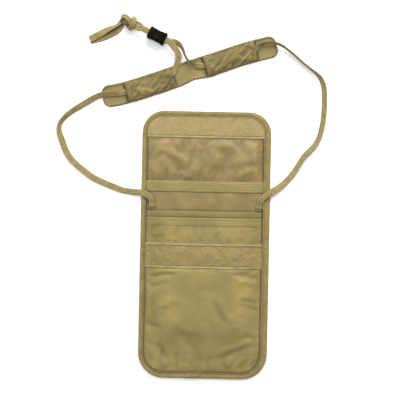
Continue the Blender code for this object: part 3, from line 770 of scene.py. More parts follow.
def half_width_at(y, inset):
    """Half of the pouch's width at a height, a distance in from its edge."""
    below = BOTTOM_Y + BOTTOM_RADIUS - y
    above = y - (TOP_Y - TOP_RADIUS)
    for beyond, radius in ((below, BOTTOM_RADIUS), (above, TOP_RADIUS)):
        if beyond > 0:
            return HALF_WIDTH - radius + math.sqrt(max(0.0, (radius - inset) ** 2 - beyond ** 2))
    return HALF_WIDTH - inset


def edge_distance(x, y):
    """How far in from the pouch's edge a place is, and how far its outward direction points to +X."""
    for centre_y, radius, beyond in ((BOTTOM_Y + BOTTOM_RADIUS, BOTTOM_RADIUS, -1),
                                     (TOP_Y - TOP_RADIUS, TOP_RADIUS, 1)):
        across = abs(x) - (HALF_WIDTH - radius)
        over = (y - centre_y) * beyond
        if across > 0 and over > 0:
            away = math.hypot(across, over)
            return radius - away, math.copysign(across / away, x)
    from_side = HALF_WIDTH - abs(x)
    from_end = min(y - BOTTOM_Y, TOP_Y - y)
    return (from_side, math.copysign(1.0, x)) if from_side < from_end else (from_end, 0.0)


def binding_reach(outward_x):
    """How the binding's width varies round the pouch: sewn a little wider on the right than on the left."""
    return 0.92 + 0.17 * outward_x


def heading(degrees):
    """The direction at an angle from +X."""
    return Vector((math.cos(math.radians(degrees)), math.sin(math.radians(degrees))))


def outline(step):
    """Points round the pouch's edge, anticlockwise from its bottom middle, with their outward directions."""
    corners = [(HALF_WIDTH - BOTTOM_RADIUS, BOTTOM_Y + BOTTOM_RADIUS, BOTTOM_RADIUS, -90),
               (HALF_WIDTH - TOP_RADIUS, TOP_Y - TOP_RADIUS, TOP_RADIUS, 0),
               (-(HALF_WIDTH - TOP_RADIUS), TOP_Y - TOP_RADIUS, TOP_RADIUS, 90),
               (-(HALF_WIDTH - BOTTOM_RADIUS), BOTTOM_Y + BOTTOM_RADIUS, BOTTOM_RADIUS, 180)]
    ring = []
    previous = Vector((0.0, BOTTOM_Y))
    for x, y, radius, first in corners:
        outward = heading(first)
        start = Vector((x, y)) + outward * radius
        count = max(1, round((start - previous).length / step))
        ring += [(previous.lerp(start, index / count), outward) for index in range(count)]
        count = round(radius * math.pi / 2 / step)
        for index in range(count):
            outward = heading(first + 90 * index / count)
            ring.append((Vector((x, y)) + outward * radius, outward))
        previous = Vector((x, y)) + heading(first + 90) * radius
    end = Vector((0.0, BOTTOM_Y))
    count = max(1, round((end - previous).length / step))
    ring += [(previous.lerp(end, index / count), Vector((0.0, -1.0))) for index in range(count)]
    return ring


def edge_height(y):
    """Thickness of the bound edge: thick over the pockets, thin round the flap."""
    return BODY_HEIGHT + (FLAP_HEIGHT - BODY_HEIGHT) * smooth_step((y - FOLD_Y + 6.0) / 14.0)


def places_across(y, inset, step):
    """Evenly spaced places across the pouch at a height; every height has the same number of them."""
    half, columns = half_width_at(y, inset), round(2 * HALF_WIDTH / step)
    return [half * (2 * column / columns - 1) for column in range(columns + 1)]


def panel_grid(low, high, inset, step, height):
    """Rows of points across the pouch between two heights; height gives z at a place."""
    rows = max(2, round((high - low) / step))
    grid = []
    for row in range(rows + 1):
        y = low + (high - low) * row / rows
        grid.append([(x, y, height(x, y)) for x in places_across(y, inset, step)])
    return grid


def fold_shape(x, y, folds):
    """Height of listed folds at a place; each has its two ends, its half width and its height."""
    total = 0.0
    for x0, y0, x1, y1, width, height in folds:
        along = Vector((x1 - x0, y1 - y0))
        length = along.length
        along.normalize()
        away = Vector((x - x0, y - y0))
        share = away.dot(along) / length
        across = (away.x * along.y - away.y * along.x) / width
        across += 0.35 * math.sin(share * 5.0 + x0)
        taper = smooth_step(share * 3 + 0.2) * smooth_step((1 - share) * 3 + 0.2)
        total += height * taper * math.exp(-across * across)
    return total


def cross_fold(obj):
    """Bake the place of a piece that crosses the pouch's fold into its mesh."""
    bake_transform(obj)


# The simulation runs at ten times the real size, where Blender's cloth is steadier.
SIM_SCALE = 10.0


def run_cloth(obj, group, grow, frames, push, bending):
    """Where a sheet's points are after some frames as cloth that has grown a little."""
    cloth = add_modifier(obj, "CLOTH")
    for name, value in (("quality", 5), ("mass", 0.2), ("tension_stiffness", 20.0),
                        ("compression_stiffness", 20.0), ("shear_stiffness", 8.0),
                        ("bending_stiffness", bending), ("shrink_min", -grow),
                        ("vertex_group_mass", group.name), ("use_pressure", push != 0.0),
                        ("uniform_pressure_force", push)):
        setattr(cloth.settings, name, value)
    cloth.settings.effector_weights.gravity = 0.0
    cloth.collision_settings.use_collision = False
    cloth.point_cache.frame_start = 1
    cloth.point_cache.frame_end = frames
    for index in range(1, frames + 1):
        bpy.context.scene.frame_set(index)
    graph = bpy.context.evaluated_depsgraph_get()
    settled = [vertex.co.copy() for vertex in obj.evaluated_get(graph).data.vertices]
    obj.modifiers.remove(cloth)
    bpy.context.scene.frame_set(1)
    return settled


def settle(obj, is_pinned, grow, frames=22, push=0.0, bending=0.4, cap=2.5):
    """Let a sheet buckle as cloth that has grown a little, held where it is pinned; cap limits each move."""
    mesh = obj.data
    start = [vertex.co.copy() for vertex in mesh.vertices]
    pinned = [index for index, co in enumerate(start) if is_pinned(co.x / MM, co.y / MM)]
    for vertex in mesh.vertices:
        vertex.co *= SIM_SCALE
    group = obj.vertex_groups.new(name="pinned")
    group.add(pinned, 1.0, "REPLACE")
    settled = run_cloth(obj, group, grow, frames, push, bending)
    obj.vertex_groups.remove(group)
    for vertex, place, before in zip(mesh.vertices, settled, start):
        move = place / SIM_SCALE - before
        if move.length > cap * MM:
            move = move.normalized() * cap * MM
        vertex.co = before + move


def mark_painted_shade(obj, values):
    """Give each point its painted shade: 1 the darkest, as in the deepest crease, -1 the brightest painted
    highlight, as on the highest ridge.
    """
    attribute = obj.data.attributes.new(PAINTED_SHADE_ATTRIBUTE, "FLOAT", "POINT")
    attribute.data.foreach_set("value", np.array(values, np.float32).ravel())


def paint_shade_and_highlight(obj, columns, reach, depth, seam=None):
    """Paint shade into a grid's valleys and a highlight onto its ridges; seam adds painted shade of its own
    at a place.
    """
    mesh = obj.data
    count = len(mesh.vertices)
    places = np.empty(count * 3, np.float64)
    mesh.vertices.foreach_get("co", places)
    places = places.reshape(-1, columns, 3) / MM
    level = places[:, :, 2].copy()
    for _ in range(reach):
        padded = np.pad(level, 1, mode="edge")
        level = (padded[:-2, 1:-1] + padded[2:, 1:-1] + padded[1:-1, :-2] + padded[1:-1, 2:]) / 4
    values = np.clip((level - places[:, :, 2]) / depth, -1.0, 1.0)
    if seam:
        extra = [[seam(x, y) for x, y, _ in row] for row in places]
        values = np.clip(values + np.array(extra), -1.0, 1.0)
    mark_painted_shade(obj, values)


def surface_of(obj):
    """A search tree of a piece's surface in metres."""
    mesh = obj.data
    return BVHTree.FromPolygons([vertex.co for vertex in mesh.vertices],
                                [polygon.vertices[:] for polygon in mesh.polygons])


def drop(tree, x, y, default):
    """Height of a surface under a place, in millimetres."""
    hit = tree.ray_cast(Vector((x, y, 60.0)) * MM, -UP)[0]
    return hit.z / MM if hit else default


# ---------------- stitches

STITCH_PITCH = 2.7
STITCH_LENGTH = 2.0
STITCH_RADIUS = 0.24
STITCH_SIDES = 6
# A stitch's rings: the share of its length from its middle, and its width and lift as shares of its radius.
STITCH_RINGS = [(-0.5, 0.35, -0.8), (-0.36, 0.9, -0.1), (0.0, 1.0, 0.25), (0.36, 0.9, -0.1),
                (0.5, 0.35, -0.8)]


def evenly_along(line, first, pitch):
    """Places a pitch apart on a line of points, from a first distance on, each with its direction."""
    travelled, next_at = 0.0, first
    for start, end in zip(line, line[1:]):
        gap = (end - start).length
        while gap > 0 and travelled + gap >= next_at:
            yield start.lerp(end, (next_at - travelled) / gap), (end - start).normalized()
            next_at += pitch
        travelled += gap


def stitches(name, rows, material, pitch=STITCH_PITCH, length=STITCH_LENGTH, radius=STITCH_RADIUS):
    """Rows of sewn stitches as one piece: each row is a line of points on the cloth."""
    verts, faces = [], []
    for row in rows:
        for place, along in evenly_along([Vector(point) for point in row], pitch / 2, pitch):
            add_stitch(verts, faces, place, along, length, radius)
    return new_piece(name, verts, faces, material)


def add_stitch(verts, faces, place, along, length, radius):
    """One stitch: a short rounded thread that dips into the cloth at both ends."""
    across = UP.cross(along).normalized()
    rise = along.cross(across)
    faces += tube_faces(STITCH_SIDES, len(STITCH_RINGS), first=len(verts))
    for share, width, lift in STITCH_RINGS:
        for side in range(STITCH_SIDES):
            angle = 2 * math.pi * side / STITCH_SIDES
            verts.append(place + along * length * share + across * radius * width * math.cos(angle)
                         + rise * radius * (width * math.sin(angle) + lift))


# ---------------- pouch: outer cloth and lining

CLOTH_STEP = 1.5
PANEL_COLUMNS = round(2 * HALF_WIDTH / CLOTH_STEP) + 1
SHELL_INSET = 0.9
LINING_INSET = 1.4
# How far in from the edge the binding holds the cloth down, and over what distance the cloth comes free.
HELD_REACH = 7.0
SHELL_RAMP = 18.0
LINING_RAMP = 10.0
FLAP_START = 66.0
# Where the painted shadow line lies just inside the binding, and how wide and strong it is.
SEAM_LINE = 7.0
SEAM_WIDTH = 1.15
SEAM_DEPTH = 1.15


def seam_shade(x, y):
    """Painted shadow in the cloth just inside the edge binding."""
    distance, outward_x = edge_distance(x, y)
    return SEAM_DEPTH * math.exp(-((distance - SEAM_LINE * binding_reach(outward_x)) / SEAM_WIDTH) ** 2)


def mouth_shade(mouth):
    """Shade in the seams and in the cloth that shows just past the mouth of the pocket on top of it."""
    return lambda x, y: seam_shade(x, y) + 0.9 * math.exp(-((y - mouth - 0.8) / 0.9) ** 2)


def tucked(x, y, z, height):
    """A tape's height, lowered to pass under the binding where it reaches the pouch's edge."""
    distance, outward_x = edge_distance(x, y)
    share = smooth_step((distance - 5.7 * binding_reach(outward_x)) / 1.1)
    return z * share + min(z, height - 0.85) * (1.0 - share)


def build_shell():
    """The outer cloth, one piece through the fold, with its soft wrinkles seen from behind."""
    def height(x, y):
        free = smooth_step((half_width_at(y, 0.0) - abs(x) - HELD_REACH) / SHELL_RAMP)
        free *= (smooth_step((y - BOTTOM_Y - HELD_REACH) / SHELL_RAMP)
                 * smooth_step((TOP_Y - y - HELD_REACH) / SHELL_RAMP))
        free *= 1.0 - 0.8 * math.exp(-((y - FOLD_Y) / 12.0) ** 2)
        return BACK_Z - 0.35 * free * (1.0 + fractal(x * 0.035, y * 0.025, 4.0)) + 0.05 * free

    grid = panel_grid(BOTTOM_Y + SHELL_INSET, TOP_Y - SHELL_INSET, SHELL_INSET, CLOTH_STEP, height)
    shell = grid_sheet("outer_cloth", grid, SHELL)
    thicken(shell, 0.3)
    cross_fold(shell)
    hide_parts("back_panel", "flap_panel")


# Folds of the lining over the flap: both ends, half width and height.
LINING_FOLDS = [(-52, 104, -18, 84, 4.0, 0.9), (-50, 92, -30, 74, 4.5, 0.8), (12, 108, 40, 92, 4.0, 0.8),
                (26, 84, 56, 96, 5.0, 1.0), (30, 74, 57, 80, 3.5, 0.7), (-20, 76, 16, 90, 6.0, 0.7),
                (44, 108, 56, 84, 4.0, 0.9)]


def build_lining():
    """The lining, one piece through the fold, rippled over the flap."""
    def height(x, y):
        free = smooth_step((HALF_WIDTH - abs(x) - HELD_REACH) / LINING_RAMP)
        flap = smooth_step((y - FLAP_START) / 8.0) * smooth_step((HOOK_LOW - y) / 8.0)
        ripple = fold_shape(x, y, LINING_FOLDS) + 0.5 + 0.5 * fractal(x * 0.05 + 3, y * 0.04, 9.0)
        back = 0.25 * smooth_step((y - BOTTOM_Y - 8.0) / 20.0) * (1.0 + fractal(x * 0.04, y * 0.04, 2.0))
        return LINING_Z + free * (flap * ripple + (1.0 - flap) * back * smooth_step((FOLD_Y - y) / 14.0))

    grid = panel_grid(BOTTOM_Y + LINING_INSET, TOP_Y - LINING_INSET, LINING_INSET, CLOTH_STEP, height)
    lining = grid_sheet("inner_lining", grid, LINING)

    def held(x, y):
        return y < FLAP_START + 1.0 or y > HOOK_LOW - 1.0 or abs(x) > half_width_at(y, HELD_REACH + 0.5)

    settle(lining, held, grow=0.010, bending=0.4, cap=1.0)
    for vertex in lining.data.vertices:
        vertex.co.z = max(vertex.co.z, LINING_Z * MM)
    paint_shade_and_highlight(lining, PANEL_COLUMNS, 10, 1.5, mouth_shade(POCKET_MOUTH))
    thicken(lining, 0.2)
    cross_fold(lining)
    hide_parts("back_lining", "flap_lining")


FACING_LOW, FACING_HIGH = 55.0, 66.6
FACING_STITCH = 1.9


def build_facing():
    """The band sewn across the inside of the fold, both edges turned under and stitched."""
    def height(x, y):
        edge = min(y - FACING_LOW, FACING_HIGH - y)
        puff = 0.55 * smooth_step(edge / 1.2) - 0.28 * math.exp(-((edge - FACING_STITCH) / 0.7) ** 2)
        return LINING_Z + 0.45 + puff + 0.16 * fractal(x * 0.12, y * 0.2, 6.0)

    grid = panel_grid(FACING_LOW, FACING_HIGH, 3.0, 0.75, height)
    band = grid_sheet("facing_band_cloth", grid, SHELL)
    thicken(band, 0.35, -1.0)
    cross_fold(band)
    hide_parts("facing_band")
    rows = [[(x, y, LINING_Z + 0.95) for x in range(-61, 62, 2)]
            for y in (FACING_LOW + FACING_STITCH, FACING_HIGH - FACING_STITCH)]
    row = stitches("facing_stitches", rows, PALE_THREAD)
    cross_fold(row)


# ---------------- edge binding

def binding_section(height):
    """The folded tape's section: distance in from the edge and height, round both its faces."""
    return [(6.2, 0.55), (6.5, 0.3), (6.3, 0.05), (3.6, 0.0), (1.3, 0.06), (0.4, 0.35), (0.03, 0.4 * height),
            (0.03, 0.62 * height), (0.35, height - 0.42), (1.0, height - 0.08), (2.2, height + 0.12),
            (3.4, height + 0.1), (4.3, height - 0.08), (4.9, height - 0.42), (5.3, height - 0.42),
            (5.8, height + 0.05), (6.3, height + 0.3), (6.7, height + 0.12), (6.6, height - 0.35),
            (5.2, height - 0.78), (2.6, height - 0.62), (1.3, height - 0.95), (1.0, 0.5 * height),
            (1.4, 0.85), (3.6, 0.62)]


# The section's points on its upper face, and the two in the groove that the stitches pull down.
UPPER_FACE = range(8, 20)
STITCH_GROOVE = (13, 14)
# The stitches' distance in from the edge: through the binding, and in the seam beside it.
STITCH_LINE = 5.1
INNER_SEAM_LINE = 7.1
# The binding's lapped end: where it starts, its length, its slant and its rows of points.
LAP_START = -19.0
LAP_LENGTH = 15.0
LAP_SLANT = 0.75
LAP_ROWS = 16


def binding_across():
    """How far round the binding's section each of its points lies, for its map."""
    profile = binding_section(BODY_HEIGHT)
    across = [0.0]
    for first, second in zip(profile, profile[1:] + profile[:1]):
        across.append(across[-1] + math.dist(first, second))
    return across


def build_binding():
    """One length of woven tape folded over the whole edge, its ends lapped at the bottom."""
    ring = outline(1.1)
    sections, along_map, travelled = [], [0.0], 0.0
    for index, (place, outward) in enumerate(ring):
        height = edge_height(place.y)
        pull = 0.5 + 0.5 * math.cos(2 * math.pi * travelled / STITCH_PITCH)
        waver = 0.22 * fractal(travelled * 0.05, 0.0, 3.0) + 0.10 * fractal(travelled * 0.35, 0.0, 5.0)
        puff = 0.16 * fractal(travelled * 0.09, 0.0, 8.0) + 0.10 * fractal(travelled * 0.6, 0.0, 1.0)
        section = []
        for step, (inset, z) in enumerate(binding_section(height)):
            if step in UPPER_FACE:
                z += puff * smooth_step(inset / 2.0)
                inset += waver * smooth_step((inset - 3.0) / 3.0)
            if step in STITCH_GROOVE:
                z -= 0.12 * pull
            spot = place - outward * (inset * binding_reach(outward.x) + 0.35 * waver)
            section.append((spot.x, spot.y, z))
        sections.append(section)
        travelled += (ring[(index + 1) % len(ring)][0] - place).length
        along_map.append(travelled)
    tape = sweep("edge_binding", sections, binding_across(), along_map, TAPE, closed=True)
    cross_fold(tape)
    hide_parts("body_binding", "flap_binding")


def build_binding_end():
    """The lapped end of the binding at the bottom: its raw end turned under on a slant."""
    sections, along_map = [], []
    for index in range(LAP_ROWS + 1):
        distance = LAP_LENGTH * index / LAP_ROWS
        lean = 1.0 if index == LAP_ROWS else 0.4
        lift = 0.42 * math.sin(math.pi * min(1.0, index / LAP_ROWS + 0.12)) + 0.12
        section = []
        for inset, z in binding_section(BODY_HEIGHT):
            x = LAP_START + distance + LAP_SLANT * inset * lean
            raised = z + lift * (1 if z > BODY_HEIGHT / 2 else -0.15)
            section.append((x, BOTTOM_Y + inset - 0.3 * lift, max(raised, 0.0)))
        sections.append(section)
        along_map.append(distance)
    end = sweep("binding_end", sections, binding_across(), along_map, TAPE)
    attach(end, "pouch")


def round_edge(inset, height):
    """A line of points round the pouch, a distance in from its edge; height gives z from y."""
    return [(*(place - outward * inset * binding_reach(outward.x)), height(place.y))
            for place, outward in outline(1.3)]


def build_binding_stitches():
    """The stitches through the binding in front and behind, and the seam beside it."""
    front = round_edge(STITCH_LINE, lambda y: edge_height(y) - 0.12)
    seam = round_edge(INNER_SEAM_LINE, lambda y: edge_height(y) - 0.42)
    row = stitches("binding_stitches", [front], THREAD)
    cross_fold(row)
    # The seam row is real stitching, made thick and dark in the gap inside the binding so that it also paints
    # the shadow line there.
    row = stitches("inner_seam_stitches_and_painted_shadow", [seam], DARK_THREAD, pitch=2.3, length=1.9, radius=0.38)
    cross_fold(row)
    back = round_edge(STITCH_LINE, lambda y: 0.12)
    row = stitches("back_stitches", [back[::-1]], PALE_THREAD, radius=0.2)
    cross_fold(row)


# ---------------- flap: hook tape

HOOK_INSET = 4.3
HOOK_STEP = 0.72
HOOK_FACE_Z = 1.88
HOOK_SELVEDGE_Z = 2.0
SELVEDGE_INSET = 4.4
HOOK_PITCH = 1.5


def hook_warp(x, y):
    """How the hook tape bends out of level."""
    return 0.12 * fractal(x * 0.06, y * 0.08, 12.0)


def hook_height(x, y):
    """Height of the hook tape's face: plain along its lower edge, then close rows of hooks."""
    edge = min(y - HOOK_LOW, 4.0)
    hooks = 0.07 * math.cos(2 * math.pi * x / HOOK_PITCH) * math.cos(2 * math.pi * y / HOOK_PITCH)
    field = smooth_step((edge - 1.6) / 0.8)
    rise = field * (0.22 + hooks + 0.05 * fractal(x * 0.9, y * 0.9, 3.0))
    return tucked(x, y, HOOK_FACE_Z + rise + hook_warp(x, y), FLAP_HEIGHT)


def build_hook_tape():
    """The hook half of the closure across the top of the flap, with its selvedge and stitches."""
    grid = panel_grid(HOOK_LOW, TOP_Y - HOOK_INSET, HOOK_INSET, HOOK_STEP, hook_height)
    tape = grid_sheet("hook_tape_face", grid, HOOK)
    thicken(tape, 0.5, -1.0)
    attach(tape, "flap")
    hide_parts("hook_tape")

    def plain_height(x, y):
        return tucked(x, y, HOOK_SELVEDGE_Z + hook_warp(x, y), FLAP_HEIGHT)

    grid = panel_grid(HOOK_LOW - 0.3, HOOK_LOW + 1.5, SELVEDGE_INSET, 0.6, plain_height)
    edge = grid_sheet("hook_selvedge", grid, HEM)
    thicken(edge, 0.5, -1.0)
    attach(edge, "flap")
    row = stitches("hook_stitches", [[(x, HOOK_LOW + 2.3, 2.25) for x in range(-60, 61, 2)]], THREAD)
    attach(row, "flap")


# ---------------- pockets

MIDDLE_INSET = 1.8
FRONT_INSET = 2.2
MIDDLE_HEM = 6.0
HEM_DEPTH = 8.7
HEM_STITCH = 7.6
FRONT_HELD_REACH = 7.6
TAPE_STITCH = 1.5


def hemmed_panel(name, mouth, inset, surface, material, hem):
    """A pocket panel whose mouth is turned over inside: rows up the face, round the edge and back down."""
    rows = [(y, 0.0) for y in np.arange(BOTTOM_Y + inset, mouth - 0.4, CLOTH_STEP)]
    rows += [(mouth - 0.25, 0.0), (mouth, -0.12), (mouth + 0.06, -0.4), (mouth, -0.68), (mouth - 0.3, -0.8)]
    rows += [(mouth - back, -0.8) for back in np.arange(1.5, hem, CLOTH_STEP)]
    grid, uv_grid = [], []
    travelled = 0.0
    previous = rows[0]
    for y, offset in rows:
        travelled += math.dist((y, offset), previous)
        previous = (y, offset)
        line = places_across(y, inset, CLOTH_STEP)
        grid.append([(x, y, surface(x, min(y, mouth)) + offset) for x in line])
        uv_grid.append([(x, travelled) for x in line])
    return grid_sheet(name, grid, material, uv_grid)


def middle_surface(x, y):
    """Height of the main compartment's front wall."""
    wave = 0.3 * fractal(x * 0.03, y * 0.03, 21.0) * smooth_step((HALF_WIDTH - abs(x) - 8.0) / 12.0)
    return POCKET_Z + 0.2 + crown(x, y, POCKET_RISE) + wave


# Folds of the front panel: valleys are negative. Both ends, half width and height.
FRONT_FOLDS = [
    (8, -57, 27, -84, 4.0, -1.0), (14, -52, 33, -80, 5.0, 0.8),
    (-28, -84, 6, -108, 9.0, -1.4), (-14, -96, 0, -128, 6.0, -1.0), (-36, -74, -8, -92, 5.0, 0.9),
    (10, -119, 56, -102, 3.0, -1.0), (14, -114, 58, -95, 4.0, 0.9),
    (58, -60, 36, -57, 2.4, -1.0), (58, -66, 34, -62, 2.6, -0.9), (58, -98, 40, -94, 3.0, -1.0),
    (-58, -34, -30, -30, 2.2, -0.9), (-58, -30, -24, -27, 1.8, 0.7), (58, -33, 28, -30, 2.2, -0.8),
    (58, -39, 34, -37, 2.2, 0.7), (-58, -44, -34, -40, 3.0, -0.7), (-50, -104, -34, -120, 4.5, -1.2),
    (-44, -127, -42, -108, 2.4, -0.9), (-28, -130, -26, -112, 2.4, -0.9), (-17, -131, -14, -114, 2.2, 0.8),
    (6, -131, 8, -114, 2.4, -0.9), (24, -131, 22, -116, 2.2, -0.7), (-60, -80, -44, -88, 3.0, -0.8),
    (-52, -62, -20, -58, 5.0, 0.7), (30, -130, 46, -116, 3.0, 0.8), (-10, -46, 20, -44, 4.0, -0.5)]


def front_surface(x, y):
    """Height of the front pocket's panel before it settles."""
    side = smooth_step((half_width_at(y, 0.0) - abs(x) - 6.0) / 8.0)
    foot = smooth_step((y - BOTTOM_Y - 6.0) / 8.0)
    free = side * foot
    waves = 0.35 * fractal(x * 0.03, y * 0.025, 31.0) + 0.22 * fractal(x * 0.09, y * 0.07, 37.0)
    pucker = 0.25 * math.cos(x / 2.7) * math.exp(-((y - BOTTOM_Y - 9.0) / 5.0) ** 2) * side
    above = 0.45 if y > LOOP_LOW - 2 else 1.0
    hem = 0.35 * smooth_step((y - FRONT_MOUTH + HEM_DEPTH) / 0.9)
    hem -= 0.3 * math.exp(-((y - FRONT_MOUTH + HEM_STITCH) / 0.8) ** 2)
    level = FRONT_Z + 0.1 + crown(x, y, FRONT_RISE - 0.6)
    return level + free * (waves + fold_shape(x, y, FRONT_FOLDS)) * above + pucker + hem * side


def build_middle_pocket():
    """The main compartment's front wall."""
    middle = hemmed_panel("middle_panel_cloth", POCKET_MOUTH, MIDDLE_INSET, middle_surface, POCKET,
                          MIDDLE_HEM)
    paint_shade_and_highlight(middle, PANEL_COLUMNS, 10, 1.6, mouth_shade(FRONT_MOUTH))
    thicken(middle, 0.2)
    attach(middle, "pouch")
    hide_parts("middle_pocket_panel")


def front_held(x, y):
    """Whether the front panel is sewn down at a place: at its edge, under the loop tape or in its hem."""
    at_edge = abs(x) > half_width_at(y, FRONT_HELD_REACH) or y < BOTTOM_Y + FRONT_HELD_REACH
    at_tape = min(abs(y - LOOP_LOW - TAPE_STITCH), abs(y - LOOP_HIGH + TAPE_STITCH)) < 1.0
    return at_edge or at_tape or y > FRONT_MOUTH - HEM_DEPTH - 1.0


def build_front_pocket():
    """The front pocket's panel with its hem's stitches, and the loop tape across it."""
    front = hemmed_panel("front_panel_cloth", FRONT_MOUTH, FRONT_INSET, front_surface, SHELL, HEM_DEPTH)
    settle(front, front_held, grow=0.007, push=0.3, bending=0.8, cap=1.4)
    paint_shade_and_highlight(front, PANEL_COLUMNS, 10, 2.3, seam_shade)
    thicken(front, 0.25)
    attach(front, "pouch")
    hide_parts("front_pocket_panel")

    tree = surface_of(front)
    build_loop_tape(tree)
    rows = [[(x, y, drop(tree, x, y, FRONT_Z) + 0.3) for x in np.arange(-60.0, 60.5, 1.5)]
            for y in (FRONT_MOUTH - HEM_STITCH, FRONT_MOUTH - 1.6)]
    row = stitches("pocket_hem_stitches", rows, THREAD, pitch=2.4, length=1.8)
    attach(row, "pouch")


LOOP_HALF = HALF_WIDTH - SELVEDGE_INSET
LOOP_STEP = 0.62
SELVEDGE_STEP = 1.2
SELVEDGE_WIDTH = 1.7


def loop_height(x, y, under):
    """Height of the loops over what lies under them: least on the tape's plain edges."""
    edge = min(y - LOOP_LOW, LOOP_HIGH - y)
    field = smooth_step((edge - 1.5) / 1.0)
    loops = 0.26 * fractal(x * 0.75, y * 0.75, 41.0, 2)
    loops += 0.16 * noise.noise(Vector((x * 1.9, y * 1.9, 7.0)))
    return under + 0.25 + field * (0.15 + 0.7 * loops)


def selvedge_height(x, y, under):
    """Height of the loop tape's plain edge over what lies under it."""
    return under + 0.42 + 0.06 * fractal(x * 0.5, y, 3.0)


def tape_grid(low, high, columns, rows, lie, height):
    """Rows of points across the front pocket; lie gives the panel's height and height what lies on it."""
    return [[(x, y, tucked(x, y, height(x, y, lie(x, y)), BODY_HEIGHT))
             for x in np.linspace(-LOOP_HALF, LOOP_HALF, columns)] for y in np.linspace(low, high, rows)]


def build_loop_tape(tree):
    """The loop half of the closure: a woven tape with plain selvedges and a field of brushed loops."""
    def lie(x, y):
        return drop(tree, x, y, FRONT_Z) + 0.3

    columns, rows = round(2 * LOOP_HALF / LOOP_STEP), round((LOOP_HIGH - LOOP_LOW) / LOOP_STEP)
    grid = tape_grid(LOOP_LOW, LOOP_HIGH, columns, rows, lie, loop_height)
    tape = grid_sheet("loop_tape_face", grid, LOOP)
    thicken(tape, 0.6, -1.0)
    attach(tape, "pouch")
    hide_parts("loop_tape")

    columns = round(2 * LOOP_HALF / SELVEDGE_STEP)
    for name, first, last in (("lower", LOOP_LOW - 0.2, LOOP_LOW + SELVEDGE_WIDTH),
                              ("upper", LOOP_HIGH - SELVEDGE_WIDTH, LOOP_HIGH + 0.2)):
        grid = tape_grid(first, last, columns, 5, lie, selvedge_height)
        edge = grid_sheet(f"loop_selvedge_{name}", grid, HEM)
        thicken(edge, 0.6, -1.0)
        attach(edge, "pouch")
    rows = [[(x, y, lie(x, y) + 0.62) for x in np.arange(2.0 - LOOP_HALF, LOOP_HALF - 3.0, 1.4)]
            for y in (LOOP_LOW + 2.1, LOOP_HIGH - 2.1)]
    row = stitches("loop_stitches", rows, THREAD)
    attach(row, "pouch")


TACK_ROWS = 13


def build_tacks():
    """The close zigzag bar tacks that hold the cord's two ends inside the side seams."""
    for side in ("left", "right"):
        low, high = box_mm(f"{side}_cord_tack")
        rows = []
        for index in range(TACK_ROWS):
            x = low.x + (high.x - low.x) * (index + 0.5) / TACK_ROWS
            rows.append([(x - 0.2, low.y, high.z - 0.05), (x + 0.2, high.y, high.z - 0.05)])
        length = high.y - low.y
        tack = stitches(f"{side}_bar_tack", rows, THREAD, pitch=length, length=length, radius=0.3)
        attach(tack, "pouch")
        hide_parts(f"{side}_cord_tack")


# ---------------- neck pad

PAD_CURVE = [Vector(point) for point in catmull_rom(PAD_LINE, 1.0)]
PAD_LENGTH = sum((end - start).length for start, end in zip(PAD_CURVE, PAD_CURVE[1:]))
PAD_STEP = 1.1
PAD_COLUMNS = 26
WRINKLE_TURN = math.radians(38.0)
# The stitches over the pad's edge: their pitch, length, thickness, slant, and how far in and up they lie.
OVERCAST_PITCH = 3.4
OVERCAST_LENGTH = 2.6
OVERCAST_RADIUS = 0.42
OVERCAST_SLANT = 0.35
OVERCAST_INSET = 1.35
OVERCAST_Z = 1.85
# How far a sleeve's mouth bows back at its middle, the width of its hem and where that is stitched, and
# the height of its arch before its wrinkles.
MOUTH_BOW = 0.9
SLEEVE_HEM = 5.6
SLEEVE_HEM_STITCH = 5.4
SLEEVE_HEIGHT = 3.5
SLEEVE_COLUMNS = 28


def pad_place(distance):
    """The pad's middle at a distance from its left end, with the directions along and across it."""
    travelled = 0.0
    for index, (start, end) in enumerate(zip(PAD_CURVE, PAD_CURVE[1:])):
        gap = (end - start).length
        if travelled + gap >= distance or index == len(PAD_CURVE) - 2:
            ahead, behind = PAD_CURVE[min(index + 3, len(PAD_CURVE) - 1)], PAD_CURVE[max(index - 2, 0)]
            along = (ahead - behind).normalized()
            centre = start + (end - start).normalized() * (distance - travelled)
            return centre, along, Vector((-along.y, along.x))
        travelled += gap


def pad_half(distance):
    """Half of the pad's width at a distance from its left end: its ends are rounded."""
    corner = max(PAD_END_RADIUS - distance, distance - (PAD_LENGTH - PAD_END_RADIUS), 0.0)
    return PAD_HALF - PAD_END_RADIUS + math.sqrt(max(0.0, PAD_END_RADIUS ** 2 - corner ** 2))


def pad_side(distance, side):
    """How far the pad's edge stands from its middle on one side; the lower one is pulled in halfway."""
    pull = 0.25 * fractal(distance * 0.09, side * 5.0, 71.0)
    pull += 0.12 * fractal(distance * 0.4, side * 5.0, 73.0)
    if side < 0:
        bulge = 0.8 * math.exp(-((distance - 117.0) / 6.0) ** 2)
        pull += bulge - 1.7 * math.exp(-((distance - 97.0) / 9.0) ** 2)
    return pad_half(distance) + pull


def mouth_near(distance, across):
    """1 just outside a sleeve's mouth, where the cloth is pressed down and painted shade lies, falling to 0.
    """
    near = 0.0
    for first, last in (LEFT_SLEEVE, RIGHT_SLEEVE):
        for edge, outside in ((first, -1), (last, 1)):
            bow = MOUTH_BOW * max(0.0, 1.0 - (across / SLEEVE_HALF) ** 2)
            past = (distance - edge) * outside + bow
            near = max(near, math.exp(-((past - 0.5) / 1.2) ** 2))
    return near * smooth_step((SLEEVE_HALF - 0.5 - abs(across)) / 2.0)


def pad_point(distance, across, z):
    """A point on the pad from its distance along, its place across and its height."""
    centre, _, side = pad_place(distance)
    spot = centre + side * across
    return spot.x, spot.y, z


